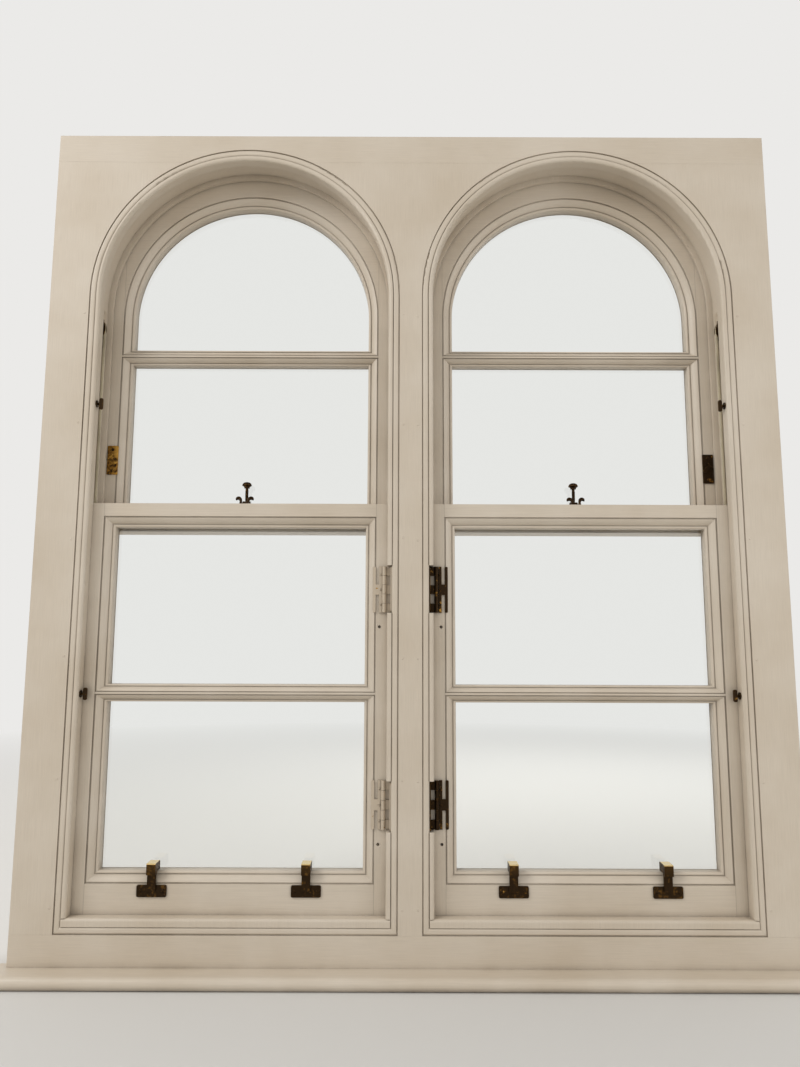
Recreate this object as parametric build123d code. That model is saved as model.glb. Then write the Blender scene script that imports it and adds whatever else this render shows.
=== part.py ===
from build123d import *
import math
import os

# Pair of arched box sash windows in one frame with a central box mullion, in millimetres.
# X runs right from the middle of the mullion, Y runs outward from the room face of the linings,
# and Z runs up from the underside of the sill.

# Driving dimensions of the frame
light_width = 616.0          # between the pulley stiles of one light
mullion_width = 74.0         # across the box mullion, from pulley stile face to pulley stile face
sash_seat = 100.0            # underside of the sill to the underside of the lower sash
spring_height = 1240.0       # underside of the lower sash to the springing of the arch
outer_box_width = 95.0       # outer pulley stile face to the outer edge of the frame
head_depth = 45.0            # crown of the arch to the top of the frame
lining_thickness = 20.0
outer_lining_thickness = 18.0
outer_lining_check = 14.0    # how far the outer lining stands past the pulley stile face
pulley_stile_thickness = 20.0
mullion_stile_thickness = 18.0
soffit_thickness = 16.0
back_lining_thickness = 10.0
top_board_thickness = 20.0
head_seam_drop = 15.0        # crown of the arch to the joint under the head lining
lining_bead_width = 14.0
lining_bead_round = 5.0
lining_quirk_width = 1.4
lining_quirk_depth = 3.2
lining_quirk_round = 1.0
staff_bead_proud = 9.0
staff_bead_depth = 24.0
staff_bead_round = 5.5
sill_bead_height = 15.0
parting_bead_proud = 11.0
parting_bead_thickness = 8.0
parting_groove = 6.0
stile_sink = 20.0            # pulley stiles and parting beads let into the sill
outer_lining_sink = 40.0
carcase_sink = 30.0
slip_thickness = 6.0
slip_foot = 8.0              # sash seat to the foot of the parting slips
slip_play = 1.0
slip_inset = 3.0

# Driving dimensions of the sill and the window board
sill_slope = 7.0             # degrees
sill_back = 190.0            # how far the sill reaches outward
sill_nose = 34.0
sill_bed = 150.0             # outer edge of the sill's underside
throat_radius = 4.0
board_thickness = 24.0
board_drop = 76.0            # underside of the lower sash to the top of the window board
board_projection = 50.0
board_horn = 20.0
sill_lining_drop = 5.0       # underside of the lower sash to the top of the sill lining

# Driving dimensions of the sashes
sash_thickness = 44.0
sash_face_gap = 0.8          # room side and outer side running clearance
sash_side_gap = 1.5
seat_gap = 0.5
lower_sash_height = 802.0
stile_width = 52.0
moulding_width = 21.5
sight_edge_depth = 14.0      # face of the sash to the moulding at the sight line
sight_bead_width = 5.0
sight_bead_depth = 10.6
sight_bead_swell = 1.3       # how far the curve stands off its chord
ovolo_start = 7.0            # sight line to the ovolo
ovolo_depth = 10.9
ovolo_end = 19.0
ovolo_end_depth = 1.6
ovolo_swell = 1.1
inner_quirk_depth = 12.4
outer_quirk_depth = 3.4
bottom_rail_height = 87.0
meeting_rail_height = 48.0
upper_meeting_rail_height = 52.0
bar_height = 34.0
bar_nose = 4.0
lower_bar_level = 423.0      # centre of the lower glazing bar above the lower sash's underside
upper_bar_drop = 107.0       # springing of the frame arch down to the centre of the upper glazing bar
sight_arch_drop = 16.0       # springing of the frame arch to the springing of the glass arch
glass_depth = 30.0           # room face of the sash to the glass
glass_thickness = 3.0
glass_cover = 8.5            # how far the glass reaches past the sight line
rebate_width = 10.0
putty_reach = 12.0
meeting_splay = 3.0
meeting_gap = 0.8
rebate_play = 1.0            # pane and putty clear of the meeting rail's splay
hollow_reach = 9.0
hollow_drop = 20.0

# Driving dimensions of the cords, pulleys and weights
cord_diameter = 6.0
cord_reach = 4.0             # cord centre inside the light from the pulley stile face
cord_play = 0.3
pulley_drop = 60.0           # springing of the arch down to the pulley centres
outer_pulley_radius = 24.0   # to the centre of the cord
inner_pulley_radius = 15.75
pulley_rim = 3.0
pulley_thickness = 10.0
axle_radius = 3.0
axle_play = 0.08
case_plate_thickness = 3.0
case_plate_width = 28.0
case_cheek_thickness = 2.5
case_cheek_gap = 0.7
case_margin = 16.0
case_clear = 3.0             # pulley rim to the ends of its mortise
case_cheek_reach = 5.0       # axle to the far edge of the cheek
case_cheek_height = 6.0
slot_clear = 1.5
web_step = 3.0
web_recess = 0.8
rim_round = 1.0
rim_flare = 0.3              # cord groove, wider at the rim
web_holes = 5
web_hole_share = 0.2         # radius of a hole as a share of the web's width
cord_groove_width = 12.0
cord_groove_depth = 12.0
knot_diameter = 11.0
knot_clear = 0.8             # knot to the bottom of its groove
knot_length = 16.0
knot_play = 0.4
lower_knot_drop = 202.0      # top of the lower sash down to its cords' knots
upper_knot_drop = 260.0      # springing of the arch down to the upper sash's knots
cord_tail = 4.0              # end of the cord above the foot of the weight's bore
round_weight_diameter = 38.0
round_weight_chamfer = 3.0
flat_weight_chamfer = 2.0
flat_weight_width = 16.0
flat_weight_depth = 44.0
weight_bore_play = 0.5
weight_bore_depth = 24.0
lower_weight_drop = 50.0     # pulley centre to the top of the weight with the lower sash shut
upper_weight_lift = 14.0     # sash seat to the foot of the weight with the upper sash shut
pocket_foot = 90.0           # sash seat to the foot of the pocket piece
pocket_height = 480.0
pocket_play = 0.25

# Driving dimensions of the brass fittings
hinge_height = 94.0
hinge_drop = 174.0           # top of the lower sash down to the middle of the upper hinge
hinge_rise = 213.0           # underside of the lower sash up to the middle of the lower hinge
hinge_plate = 2.4
hinge_leaf_height_gap = 1.0
hinge_knuckles = 5
hinge_barrel_radius = 4.0
hinge_pin_radius = 2.0
hinge_pin_offset = 15.0      # pulley stile face to the hinge pin
hinge_flap_reach = 10.5      # hinge pin to the edge of the flap's plate
hinge_strip_start = 17.0     # hinge pin to the outer strip, joined to the plate by a tongue
hinge_strip_width = 6.0
hinge_tongue_height = 21.0
hinge_clear = 0.7            # flap to the face of the sash
hinge_leaf_front = 3.0       # room face of the linings to the leaf
hinge_leaf_round = 6.0
hinge_flap_round = 2.5
hinge_flap_clear = 0.6
hinge_hole_radius = 1.6
hinge_hole_inset = 7.6       # hinge pin to the screws
hinge_hole_spacing = 30.0
socket_drop = 74.0           # hinge centre to the threaded socket in the stile
socket_inset = 24.4          # pulley stile face to the socket's centre
socket_radius = 3.0
socket_depth = 8.5
lift_spacing = 294.0
lift_plate_width = 57.0
lift_plate_height = 22.0
lift_plate_foot = 42.0
lift_step_clear = 0.7        # face of the sash to the stem and to the step under the hood
lift_stem_lap = 1.5          # stem's end inside the hood
lift_plate_thickness = 2.5
lift_plate_round = 3.0
lift_stem_width = 16.5
lift_stem_thickness = 4.5
lift_hood_width = 17.5
lift_hood_front = 11.5       # face of the sash forward to the front of the hood
lift_hood_back = 19.0        # face of the sash back over the moulding to the end of the hood
lift_hood_level = 84.0       # underside of the sash to the front ledge of the hood
lift_hood_height = 21.0
lift_hood_round = 3.0
lift_hood_clear = 1.5        # hood above the sight edge of the moulding
lift_hole_inset = 7.0
fastener_plate_width = 40.0
fastener_plate_depth = 20.0
fastener_plate_thickness = 2.5
fastener_plate_round = 5.0
fastener_plate_inset = 4.0   # pivot nearer the lower sash than the middle of the rail
fastener_pivot_height = 8.0
fastener_lug_thickness = 4.0
fastener_lug_radius = 5.0
fastener_eye_radius = 4.5
fastener_pin_radius = 2.0
fastener_play = 0.4
fastener_arm_diameter = 7.0
fastener_rod_radius = 3.0
fastener_reach = 46.0        # pivot to the top of the knob
knob_diameter = 19.0
knob_height = 13.0
knob_crown = 1.8
knob_neck_share = 0.62       # neck radius as a share of the knob's
knob_neck_height = 2.5
knob_flare_height = 5.5
knob_shoulder_drop = 4.0
knob_rim_drop = 1.2
knob_tip_radius = 1.2
knob_travel = 4.0            # along the thread, down onto the keep
rod_end_play = 0.2           # end of the rod to the bottom of the knob's hole, knob home
keep_width = 46.0
keep_slot = 9.0
keep_wall = 7.0
keep_height = 9.0
keep_offset = 8.0            # slot to the keep's shorter end
keep_horn_width = 5.0
keep_horn_round = 3.0
keep_margin = 2.0
keep_plate_round = 4.0
keep_clear = 0.3
keep_back_inset = 0.8        # splay of the meeting rails to the back of the keep's plate
screw_hole_radius = 2.3
stop_rises = (101.0, 86.0)   # top of the lower sash up to the stop plates, left and right
stop_plate_width = 22.8
stop_plate_height = 62.0
stop_plate_thickness = 2.0
stop_pivot = (4.0, 7.0)      # tongue's pivot outward and up from the middle of its plate
stop_tongue_length = 20.0
stop_tongue_width = 8.0
stop_tongue_thickness = 2.2
stop_plate_round = 2.0
stop_plate_clear = 0.2
stop_hole_inset = 8.0
stop_pin_radius = 0.9
stop_pin_stand = 2.0         # pin in front of the stop plate
stop_eye_wall = 0.5
stop_lug_radius = 1.7
stop_lug_width = 2.4
stop_lug_gap = 0.2
stop_tongue_play = 0.3
stop_tongue_round = 3.0
turn_rise = 422.0            # underside of the lower sash to the lower thumb screw
turn_drop = 234.0            # springing of the arch down to the upper thumb screw
turn_screw_diameter = 5.0
turn_washer_radius = 7.0
turn_washer_thickness = 2.0
turn_neck_length = 4.0
turn_wing_length = 8.0
turn_wing_height = 24.0
turn_wing_thickness = 3.0
turn_wing_round = 3.5
overcut = 1.0                # how far a cutter runs past the face that it opens

# Densities in kilograms per cubic millimetre
timber_density = 600e-9
glass_density = 2500e-9
putty_density = 1100e-9
iron_density = 7200e-9
brass_density = 8500e-9

# Places that follow from the driving dimensions
half_light = light_width / 2
light_x = mullion_width / 2 + half_light
outer_x = light_x + half_light + outer_box_width
spring_z = sash_seat + spring_height
crown_z = spring_z + half_light
top_z = crown_z + head_depth
head_seam_z = crown_z - head_seam_drop
sill_lining_top = sash_seat - sill_lining_drop
board_top = sash_seat - board_drop
lower_face = staff_bead_depth + sash_face_gap
lower_back = lower_face + sash_thickness
parting_face = lower_back + sash_face_gap
parting_back = parting_face + parting_bead_thickness
upper_face = parting_back + sash_face_gap
upper_back = upper_face + sash_thickness
outer_lining_face = upper_back + sash_face_gap
frame_back = outer_lining_face + outer_lining_thickness
half_sash = half_light - sash_side_gap
half_sight = half_sash - stile_width
lower_top = sash_seat + lower_sash_height
lower_bar_z = sash_seat + lower_bar_level
upper_bar_z = spring_z - upper_bar_drop
meeting_foot = lower_top - upper_meeting_rail_height
sight_spring_z = spring_z - sight_arch_drop
pulley_z = spring_z - pulley_drop
knot_reach = sash_side_gap + knot_diameter / 2 + knot_clear
knot_levels = {"lower": lower_top - lower_knot_drop, "upper": spring_z - upper_knot_drop}
hinge_levels = (lower_top - hinge_drop, sash_seat + hinge_rise)
turn_levels = (sash_seat + turn_rise, spring_z - turn_drop)
case_half_slot = pulley_thickness / 2 + case_cheek_gap
half_bar = bar_height / 2
bar_share = (half_bar - bar_nose / 2) / moulding_width
sides = (-1, 1)


def sill_level(y):
    return sash_seat - seat_gap - (y - lower_face) * math.tan(math.radians(sill_slope))


# Small building helpers
def block(x, y, z):
    centre = [(low + high) / 2 for low, high in (x, y, z)]
    return Pos(*centre) * Box(*[abs(high - low) for low, high in (x, y, z)])


def rect(x0, x1, z0, z1):
    return Pos((x0 + x1) / 2, (z0 + z1) / 2) * Rectangle(abs(x1 - x0), abs(z1 - z0))


def tombstone(x, half, foot, spring, radius=None):
    radius = radius or half
    disc = Pos(x, spring) * Circle(radius) & rect(x - radius, x + radius, spring, spring + radius)
    return rect(x - half, x + half, foot, spring) + disc


def slab(sketch, y0, y1):
    front = Plane((0, y1, 0), x_dir=(1, 0, 0), z_dir=(0, -1, 0))
    return extrude(front * sketch, amount=y1 - y0)


def outline(start, *steps):
    """Closed face through the steps: a point draws a line, a pair of points an arc."""
    edges, here = [], start
    for step in steps:
        if isinstance(step[0], tuple):
            edges.append(ThreePointArc(here, step[0], step[1]))
            here = step[1]
        else:
            edges.append(Line(here, step))
            here = step
    edges.append(Line(here, start))
    return make_face(edges)


def upright(section, x, side, z0, z1):
    """The section's first axis points to side along X, its second along Y."""
    if side > 0:
        plane = Plane((x, 0, z0), x_dir=(1, 0, 0), z_dir=(0, 0, 1))
    else:
        plane = Plane((x, 0, z1), x_dir=(-1, 0, 0), z_dir=(0, 0, -1))
    return extrude(plane * section, amount=z1 - z0)


def level(section, z, side, x0, x1):
    """The section's first axis points up or down, its second along Y."""
    if side > 0:
        plane = Plane((x1, 0, z), x_dir=(0, 0, 1), z_dir=(-1, 0, 0))
    else:
        plane = Plane((x0, 0, z), x_dir=(0, 0, -1), z_dir=(1, 0, 0))
    return extrude(plane * section, amount=x1 - x0)


def half_ring(section, x, z, radius, start=0, sweep=180):
    """The section's first axis points away from the arch centre; angles run from +X up."""
    turn = math.radians(start)
    out = (math.cos(turn), 0, math.sin(turn))
    plane = Plane((x + radius * out[0], 0, z + radius * out[2]), x_dir=out, z_dir=(-out[2], 0, out[0]))
    return revolve(plane * section, axis=Axis((x, 0, z), (0, -1, 0)), revolution_arc=sweep)


def mitred(solid, x, z, along, keep):
    """Cuts the solid by the upright plane through (x, z) along one direction, keeping one side."""
    normal = (along[1], -along[0])
    if normal[0] * keep[0] + normal[1] * keep[1] < 0:
        normal = (-normal[0], -normal[1])
    plane = Plane((x, 0, z), z_dir=(normal[0], 0, normal[1]))
    return split(solid, bisect_by=plane, keep=Keep.TOP)


def save(name, solids):
    solids = [s for group in solids for s in group.solids()]
    shape = solids[0] if len(solids) == 1 else Compound(children=solids)
    export_step(shape, f"parts/{name}.step")
    print(f"{name}: {len(solids)} solids, {sum(s.volume for s in solids) / 1000:.1f} cm3")


def side_name(side):
    return "left" if side < 0 else "right"


# The sill
def sill_profile():
    top_back = sill_level(sill_back)
    throat = (sill_back + sill_bed) / 2
    nose_foot = top_back - sill_nose
    return outline(
        (lining_thickness, 0),
        (sill_bed, 0),
        (sill_bed, nose_foot),
        (throat - throat_radius, nose_foot),
        ((throat, nose_foot + throat_radius), (throat + throat_radius, nose_foot)),
        (sill_back, nose_foot),
        (sill_back, top_back),
        (lower_face, sill_level(lower_face)),
        (lower_face, sill_lining_top),
        (lining_thickness, sill_lining_top),
    )


def across(section, x0, x1):
    """Extrudes a (Y, Z) section along X."""
    plane = Plane((x0, 0, 0), x_dir=(0, 1, 0), z_dir=(1, 0, 0))
    return extrude(plane * section, amount=x1 - x0)


def make_sill():
    return across(sill_profile(), -outer_x, outer_x)


def make_window_board():
    radius = board_thickness / 2
    front = -board_projection
    section = outline(
        (lining_thickness, board_top),
        (front + radius, board_top),
        ((front, board_top - radius), (front + radius, board_top - board_thickness)),
        (lining_thickness, board_top - board_thickness),
    )
    return across(section, -outer_x - board_horn, outer_x + board_horn)


# The room side linings, edged with a flush quirked bead
def lining_bead_section():
    width, depth, turn = lining_bead_width, lining_thickness, lining_bead_round
    inset = turn * (1 - math.sqrt(0.5))
    quirk = width - lining_quirk_width
    return outline(
        (0, depth), (0, turn), ((inset, inset), (turn, 0)), (width - turn, 0),
        ((quirk - lining_quirk_round, lining_quirk_round), (quirk, lining_quirk_depth)),
        (width, lining_quirk_depth), (width, depth),
    )


def lining_board(x0, x1, z0, z1, arcs):
    """A board between the given edges, cut round both lights, with its stretches of the bead."""
    section = lining_bead_section()
    foot = sill_lining_top - lining_bead_width
    sheet = rect(x0, x1, z0, z1)
    for light in sides:
        sheet -= tombstone(light * light_x, half_light + lining_bead_width, foot, spring_z)
    board = slab(sheet, 0, lining_thickness)
    for light, start, sweep in arcs:
        board += half_ring(section, light * light_x, spring_z, half_light, start, sweep)
    for light in sides:
        for side in sides:
            edge = light * light_x + side * half_light
            if z0 < spring_z and x0 < edge < x1:
                strip = upright(section, edge, side, foot, spring_z)
                board += mitred(strip, edge, sill_lining_top, (side, -1), (0, 1))
    return board


def make_linings():
    foot = sill_lining_top - lining_bead_width
    joint = math.degrees(math.asin((head_seam_z - spring_z) / (half_light + lining_bead_width)))
    right, left, crown = (0, joint), (180 - joint, joint), (joint, 180 - 2 * joint)
    return {
        "lining_left": lining_board(-outer_x, -light_x, foot, head_seam_z, [(-1, *left)]),
        "lining_right": lining_board(light_x, outer_x, foot, head_seam_z, [(1, *right)]),
        "lining_mullion": lining_board(-light_x, light_x, foot, head_seam_z, [(-1, *right), (1, *left)]),
        "lining_head": lining_board(-outer_x, outer_x, head_seam_z, top_z, [(-1, *crown), (1, *crown)]),
        "lining_sill": make_sill_lining(),
    }


def make_sill_lining():
    foot = sill_lining_top - lining_bead_width
    reach = half_light + lining_bead_width
    board = slab(rect(-outer_x, outer_x, board_top, foot), 0, lining_thickness)
    for light in sides:
        x = light * light_x
        strip = level(lining_bead_section(), sill_lining_top, -1, x - reach, x + reach)
        for end in sides:
            strip = mitred(strip, x + end * half_light, sill_lining_top, (end, -1), (-end, 0))
        board += strip
    return board


# The boxes behind the linings
def stile_faces():
    """Pulley stile face, side of the light and thickness for the four pulley stiles."""
    for light in sides:
        for side in sides:
            outer = light == side
            thickness = pulley_stile_thickness if outer else mullion_stile_thickness
            yield light, side, light * light_x + side * half_light, thickness, outer


def parting_section():
    return outline(
        (-parting_bead_proud, parting_face), (parting_groove, parting_face),
        (parting_groove, parting_back), (-parting_bead_proud, parting_back),
    )


def make_parting_beads(sill):
    beads = []
    for light, side, face, _, _ in stile_faces():
        beads.append(upright(parting_section(), face, side, sash_seat - stile_sink, spring_z) - sill)
    for light in sides:
        beads.append(half_ring(parting_section(), light * light_x, spring_z, half_light))
    return beads


def pulley_size(outer):
    centre = outer_pulley_radius if outer else inner_pulley_radius
    return centre, centre + pulley_rim


def pulley_places():
    """Sash, light, side, stile face, wheel centre X and Y and whether it is in an outer box."""
    for sash, y in (("lower", lower_face), ("upper", upper_face)):
        for light, side, face, _, outer in stile_faces():
            radius, _ = pulley_size(outer)
            yield sash, light, side, face, face + side * (radius - cord_reach), y + sash_thickness / 2, outer


def case_opening(face, side, y, outer):
    """Mortise for the pulley and recess for its plate, cut in the pulley stile."""
    _, rim = pulley_size(outer)
    half_cheeks = case_half_slot + case_cheek_thickness
    depth = max(pulley_stile_thickness, mullion_stile_thickness) + overcut
    mortise = block((face - side * overcut, face + side * depth), (y - half_cheeks, y + half_cheeks),
                    (pulley_z - rim - case_clear, pulley_z + rim + case_clear))
    recess = block((face - side * overcut, face + side * case_plate_thickness),
                   (y - case_plate_width / 2, y + case_plate_width / 2),
                   (pulley_z - rim - case_margin, pulley_z + rim + case_margin))
    return mortise + recess


def pocket_block(face, side, thickness, play):
    foot = sash_seat + pocket_foot
    return block((face, face + side * thickness), (lining_thickness, parting_face - play),
                 (foot + play, foot + pocket_height - play))


def make_pulley_stiles(sill, parting_beads):
    stiles, pockets = [], []
    for light, side, face, thickness, outer in stile_faces():
        stile = block((face, face + side * thickness), (lining_thickness, outer_lining_face),
                      (sash_seat - stile_sink, spring_z)) - sill
        for bead in parting_beads:
            stile -= bead
        for _, _, _, other, _, y, _ in pulley_places():
            if other == face:
                stile -= case_opening(face, side, y, outer)
        stile -= pocket_block(face, side, thickness, 0)
        stiles.append(stile)
        pockets.append(pocket_block(face, side, thickness, pocket_play))
    return stiles, pockets


def make_soffits(parting_beads):
    soffits = []
    for light in sides:
        section = outline(
            (0, lining_thickness), (soffit_thickness, lining_thickness),
            (soffit_thickness, outer_lining_face), (0, outer_lining_face),
        )
        soffit = half_ring(section, light * light_x, spring_z, half_light)
        for bead in parting_beads:
            soffit -= bead
        soffits.append(soffit)
    return soffits


def make_outer_linings(sill):
    half = half_light - outer_lining_check
    lights = [tombstone(s * light_x, half, 0, spring_z) for s in sides]
    sheets = [
        rect(-outer_x, -light_x, sash_seat - outer_lining_sink, spring_z),
        rect(-light_x, light_x, sash_seat - outer_lining_sink, spring_z),
        rect(light_x, outer_x, sash_seat - outer_lining_sink, spring_z),
        rect(-outer_x, outer_x, spring_z, top_z),
    ]
    boards = []
    for sheet in sheets:
        boards.append(slab(sheet - lights[0] - lights[1], outer_lining_face, frame_back) - sill)
    return boards


def make_carcase_boards(sill):
    boards = []
    under_top = top_z - top_board_thickness
    depth = (lining_thickness, outer_lining_face)
    for side in sides:
        back = (side * (outer_x - back_lining_thickness), side * outer_x)
        boards.append(block(back, depth, (sash_seat - carcase_sink, under_top)) - sill)
    boards.append(block((-outer_x, outer_x), depth, (under_top, top_z)))
    return boards


def make_parting_slips():
    middle = (parting_face + parting_back) / 2
    depth = (middle - slip_thickness / 2, middle + slip_thickness / 2)
    height = (sash_seat + slip_foot, top_z - top_board_thickness)
    reach = mullion_width / 2 - mullion_stile_thickness - slip_play
    slips = [block((-reach, reach), depth, height)]
    inner = light_x + half_light + pulley_stile_thickness + slip_inset
    for side in sides:
        slips.append(block((side * inner, side * (outer_x - back_lining_thickness)), depth, height))
    return slips


# The staff beads
def staff_section():
    proud, depth, turn = staff_bead_proud, staff_bead_depth, staff_bead_round
    inset = turn * (1 - math.sqrt(0.5))
    return outline(
        (0, 0), (turn - proud, 0), ((inset - proud, inset), (-proud, turn)), (-proud, depth), (0, depth),
    )


def make_staff_beads():
    fixed, removable = [], []
    foot = sill_lining_top + sill_bead_height
    for light, side, face, _, outer in stile_faces():
        if outer:
            removable.append(upright(staff_section(), face, side, foot, spring_z))
            continue
        ends = [foot]
        for height in sorted(hinge_levels):
            ends += [height - hinge_height / 2, height + hinge_height / 2]
        ends.append(spring_z)
        for low, high in zip(ends[::2], ends[1::2]):
            fixed.append(upright(staff_section(), face, side, low, high))
    turn = staff_bead_round
    inset = turn * (1 - math.sqrt(0.5))
    sill_section = outline(
        (0, 0), (turn - sill_bead_height, 0), ((inset - sill_bead_height, inset), (-sill_bead_height, turn)),
        (-sill_bead_height, staff_bead_depth), (0, staff_bead_depth),
    )
    for light in sides:
        x = light * light_x
        fixed.append(half_ring(staff_section(), x, spring_z, half_light))
        fixed.append(level(sill_section, sill_lining_top, -1, x - half_light, x + half_light))
    return fixed, removable


# The sashes
def swell(start, end, rise):
    """Middle and end of an arc that stands the given rise off its chord, toward the face."""
    x, y = end[0] - start[0], end[1] - start[1]
    length = math.hypot(x, y)
    middle = (start[0] + x / 2 + rise * y / length, start[1] + y / 2 - rise * x / length)
    return middle, end


def moulding_section(y0, share=1.0):
    """Room side moulding from the sight line to the flat of the member."""
    sight, bead = (0, sight_edge_depth), (sight_bead_width, sight_bead_depth)
    start, end = (ovolo_start, ovolo_depth), (ovolo_end, ovolo_end_depth)
    steps = [
        sight, swell(sight, bead, sight_bead_swell), (sight_bead_width, inner_quirk_depth),
        (ovolo_start, inner_quirk_depth), start, swell(start, end, ovolo_swell),
        (ovolo_end, outer_quirk_depth), (moulding_width, outer_quirk_depth), (moulding_width, 0), (moulding_width, glass_depth),
    ]

    def placed(step):
        if isinstance(step[0], tuple):
            return tuple(placed(point) for point in step)
        return step[0] * share, y0 + step[1]
    return outline((0, y0 + glass_depth), *[placed(step) for step in steps])


def side_moulding(x, side, y0, z0, z1, low_share, high_share):
    """One upright stretch of moulding, mitred to the members below and above it."""
    edge = x + side * half_sight
    width = moulding_width
    low = z0 - width * low_share
    high = z1 + width * high_share
    strip = upright(moulding_section(y0), edge, side, low, high)
    if low_share:
        strip = mitred(strip, edge, z0, (side, -low_share), (0, 1))
    if high_share:
        strip = mitred(strip, edge, z1, (side, high_share), (0, -1))
    return strip


def level_moulding(x, side, y0, z, share):
    """One level stretch of moulding above (side 1) or below (side -1) a pane."""
    reach = half_sight + moulding_width
    strip = level(moulding_section(y0, share), z, side, x - reach, x + reach)
    for end in sides:
        strip = mitred(strip, x + end * half_sight, z, (end, side * share), (-end, 0))
    return strip


def stile(x, side, y0, foot, top, stretches):
    flat = half_sight + moulding_width
    body = block((x + side * flat, x + side * half_sash), (y0, y0 + sash_thickness), (foot, top))
    body += block((x + side * (half_sight + rebate_width), x + side * flat),
                  (y0 + glass_depth, y0 + sash_thickness), (foot, top))
    for stretch in stretches:
        body += side_moulding(x, side, y0, *stretch)
    return body


def glazing_bar(x, y0, z):
    flat = half_sight + moulding_width
    nose, web = bar_nose / 2, half_bar - rebate_width
    bar = block((x - flat, x + flat), (y0, y0 + glass_depth), (z - nose, z + nose))
    bar += block((x - half_sight - rebate_width, x + half_sight + rebate_width),
                 (y0 + glass_depth, y0 + sash_thickness), (z - web, z + web))
    bar += level_moulding(x, 1, y0, z - half_bar, bar_share)
    bar += level_moulding(x, -1, y0, z + half_bar, bar_share)
    return bar


def rail(x, y0, foot, top, sight, side):
    """A rail whose moulding lies at its sight edge, with the pane on the other side of it."""
    flat_edge = sight + side * moulding_width
    flat = half_sight + moulding_width
    far = foot if side < 0 else top
    low, high = min(flat_edge, far), max(flat_edge, far)
    body = block((x - flat, x + flat), (y0, y0 + glass_depth), (low, high))
    body += block((x - half_sight - rebate_width, x + half_sight + rebate_width),
                  (y0 + glass_depth, y0 + sash_thickness),
                  (sight + side * rebate_width, far))
    return body + level_moulding(x, side, y0, sight, 1.0)


def cord_cut(x, side, y0, knot_z, top):
    """Groove for the cord and blind hole for its knot in the edge of a sash."""
    middle = y0 + sash_thickness / 2
    edge = x + side * half_sash
    half = cord_groove_width / 2
    cut = block((edge - side * cord_groove_depth, edge + side * overcut), (middle - half, middle + half),
                (knot_z + knot_length / 2, top))
    hole = knot_length / 2 + knot_play
    radius = knot_diameter / 2 + knot_play
    centre_x = x + side * (half_light - knot_reach)
    cut += Pos(centre_x, middle, knot_z) * Cylinder(radius, 2 * hole)
    cut += block((centre_x, edge + side * overcut), (middle - radius, middle + radius),
                 (knot_z - hole, knot_z + hole))
    return cut


def make_lower_sash(light, sill):
    x, y0 = light * light_x, lower_face
    foot, top = sash_seat - stile_sink, lower_top
    low_sight, high_sight = sash_seat + bottom_rail_height, top - meeting_rail_height
    stretches = [
        (low_sight, lower_bar_z - half_bar, 1.0, bar_share),
        (lower_bar_z + half_bar, high_sight, bar_share, 1.0),
    ]
    under = Pos(0, 0, seat_gap) * sill
    members = []
    for side in sides:
        member = stile(x, side, y0, foot, top, stretches)
        member -= cord_cut(x, side, y0, knot_levels["lower"], top + overcut)
        if side != light:
            for height in hinge_levels:
                hole_x = x + side * (half_light - socket_inset)
                hole = Pos(hole_x, y0, height - socket_drop) * Rot(90, 0, 0)
                member -= hole * Cylinder(socket_radius, 2 * socket_depth)
        members.append(member - under)
    members.append(rail(x, y0, foot, low_sight, low_sight, -1) - under)
    members.append(glazing_bar(x, y0, lower_bar_z))
    meeting = rail(x, y0, high_sight, top, high_sight, 1)
    reach = half_light - parting_bead_proud - sash_side_gap
    splay = outline((lower_back, lower_top - upper_meeting_rail_height), (lower_back + meeting_splay, top),
                    (lower_back, top))
    members.append(meeting + across(splay, x - reach, x + reach) - pane_hollow(x, y0, high_sight))
    return members


def pane_hollow(x, y0, sight):
    """Clears the glazing rebate behind the meeting rail's splay."""
    back = y0 + sash_thickness
    return block((x - half_sight, x + half_sight), (back - rebate_play, back + hollow_reach),
                 (sight - hollow_drop, sight + rebate_width))


def make_upper_sash(light):
    x, y0 = light * light_x, upper_face
    foot, sight = meeting_foot, lower_top
    stretches = [
        (sight, upper_bar_z - half_bar, 0, bar_share),
        (upper_bar_z + half_bar, sight_spring_z, bar_share, 0),
    ]
    members = []
    for side in sides:
        member = stile(x, side, y0, foot, sight_spring_z, stretches)
        member -= cord_cut(x, side, y0, knot_levels["upper"], crown_z)
        members.append(member)
    flat = half_sight + moulding_width
    meeting = block((x - half_sight, x + half_sight), (y0, y0 + glass_depth), (foot, sight))
    meeting += block((x - half_sight - rebate_width, x + half_sight + rebate_width),
                     (y0 + glass_depth, y0 + sash_thickness), (foot, sight - rebate_width))
    for side in sides:
        meeting += block((x + side * half_sight, x + side * flat), (y0, y0 + glass_depth), (foot, sight))
    reach = half_light - parting_bead_proud - sash_side_gap
    near = lower_back + meeting_gap
    splay = outline((y0, foot), (near, foot), (near + meeting_splay, sight), (y0, sight))
    members.append(meeting + across(splay, x - reach, x + reach))
    members.append(glazing_bar(x, y0, upper_bar_z))
    members.append(arched_head(x, y0))
    return members


def arched_head(x, y0):
    outer = tombstone(x, half_sash, sight_spring_z, spring_z)
    above = rect(x - half_sash, x + half_sash, sight_spring_z, crown_z)

    def ring(inner, near, far):
        return slab((outer - Pos(x, sight_spring_z) * Circle(inner)) & above, y0 + near, y0 + far)
    head = ring(half_sight + moulding_width, 0, glass_depth)
    head += ring(half_sight + rebate_width, glass_depth, sash_thickness)
    head += half_ring(moulding_section(y0), x, sight_spring_z, half_sight)
    for side in sides:
        head -= cord_cut(x, side, y0, knot_levels["upper"], crown_z)
    return head


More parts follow.
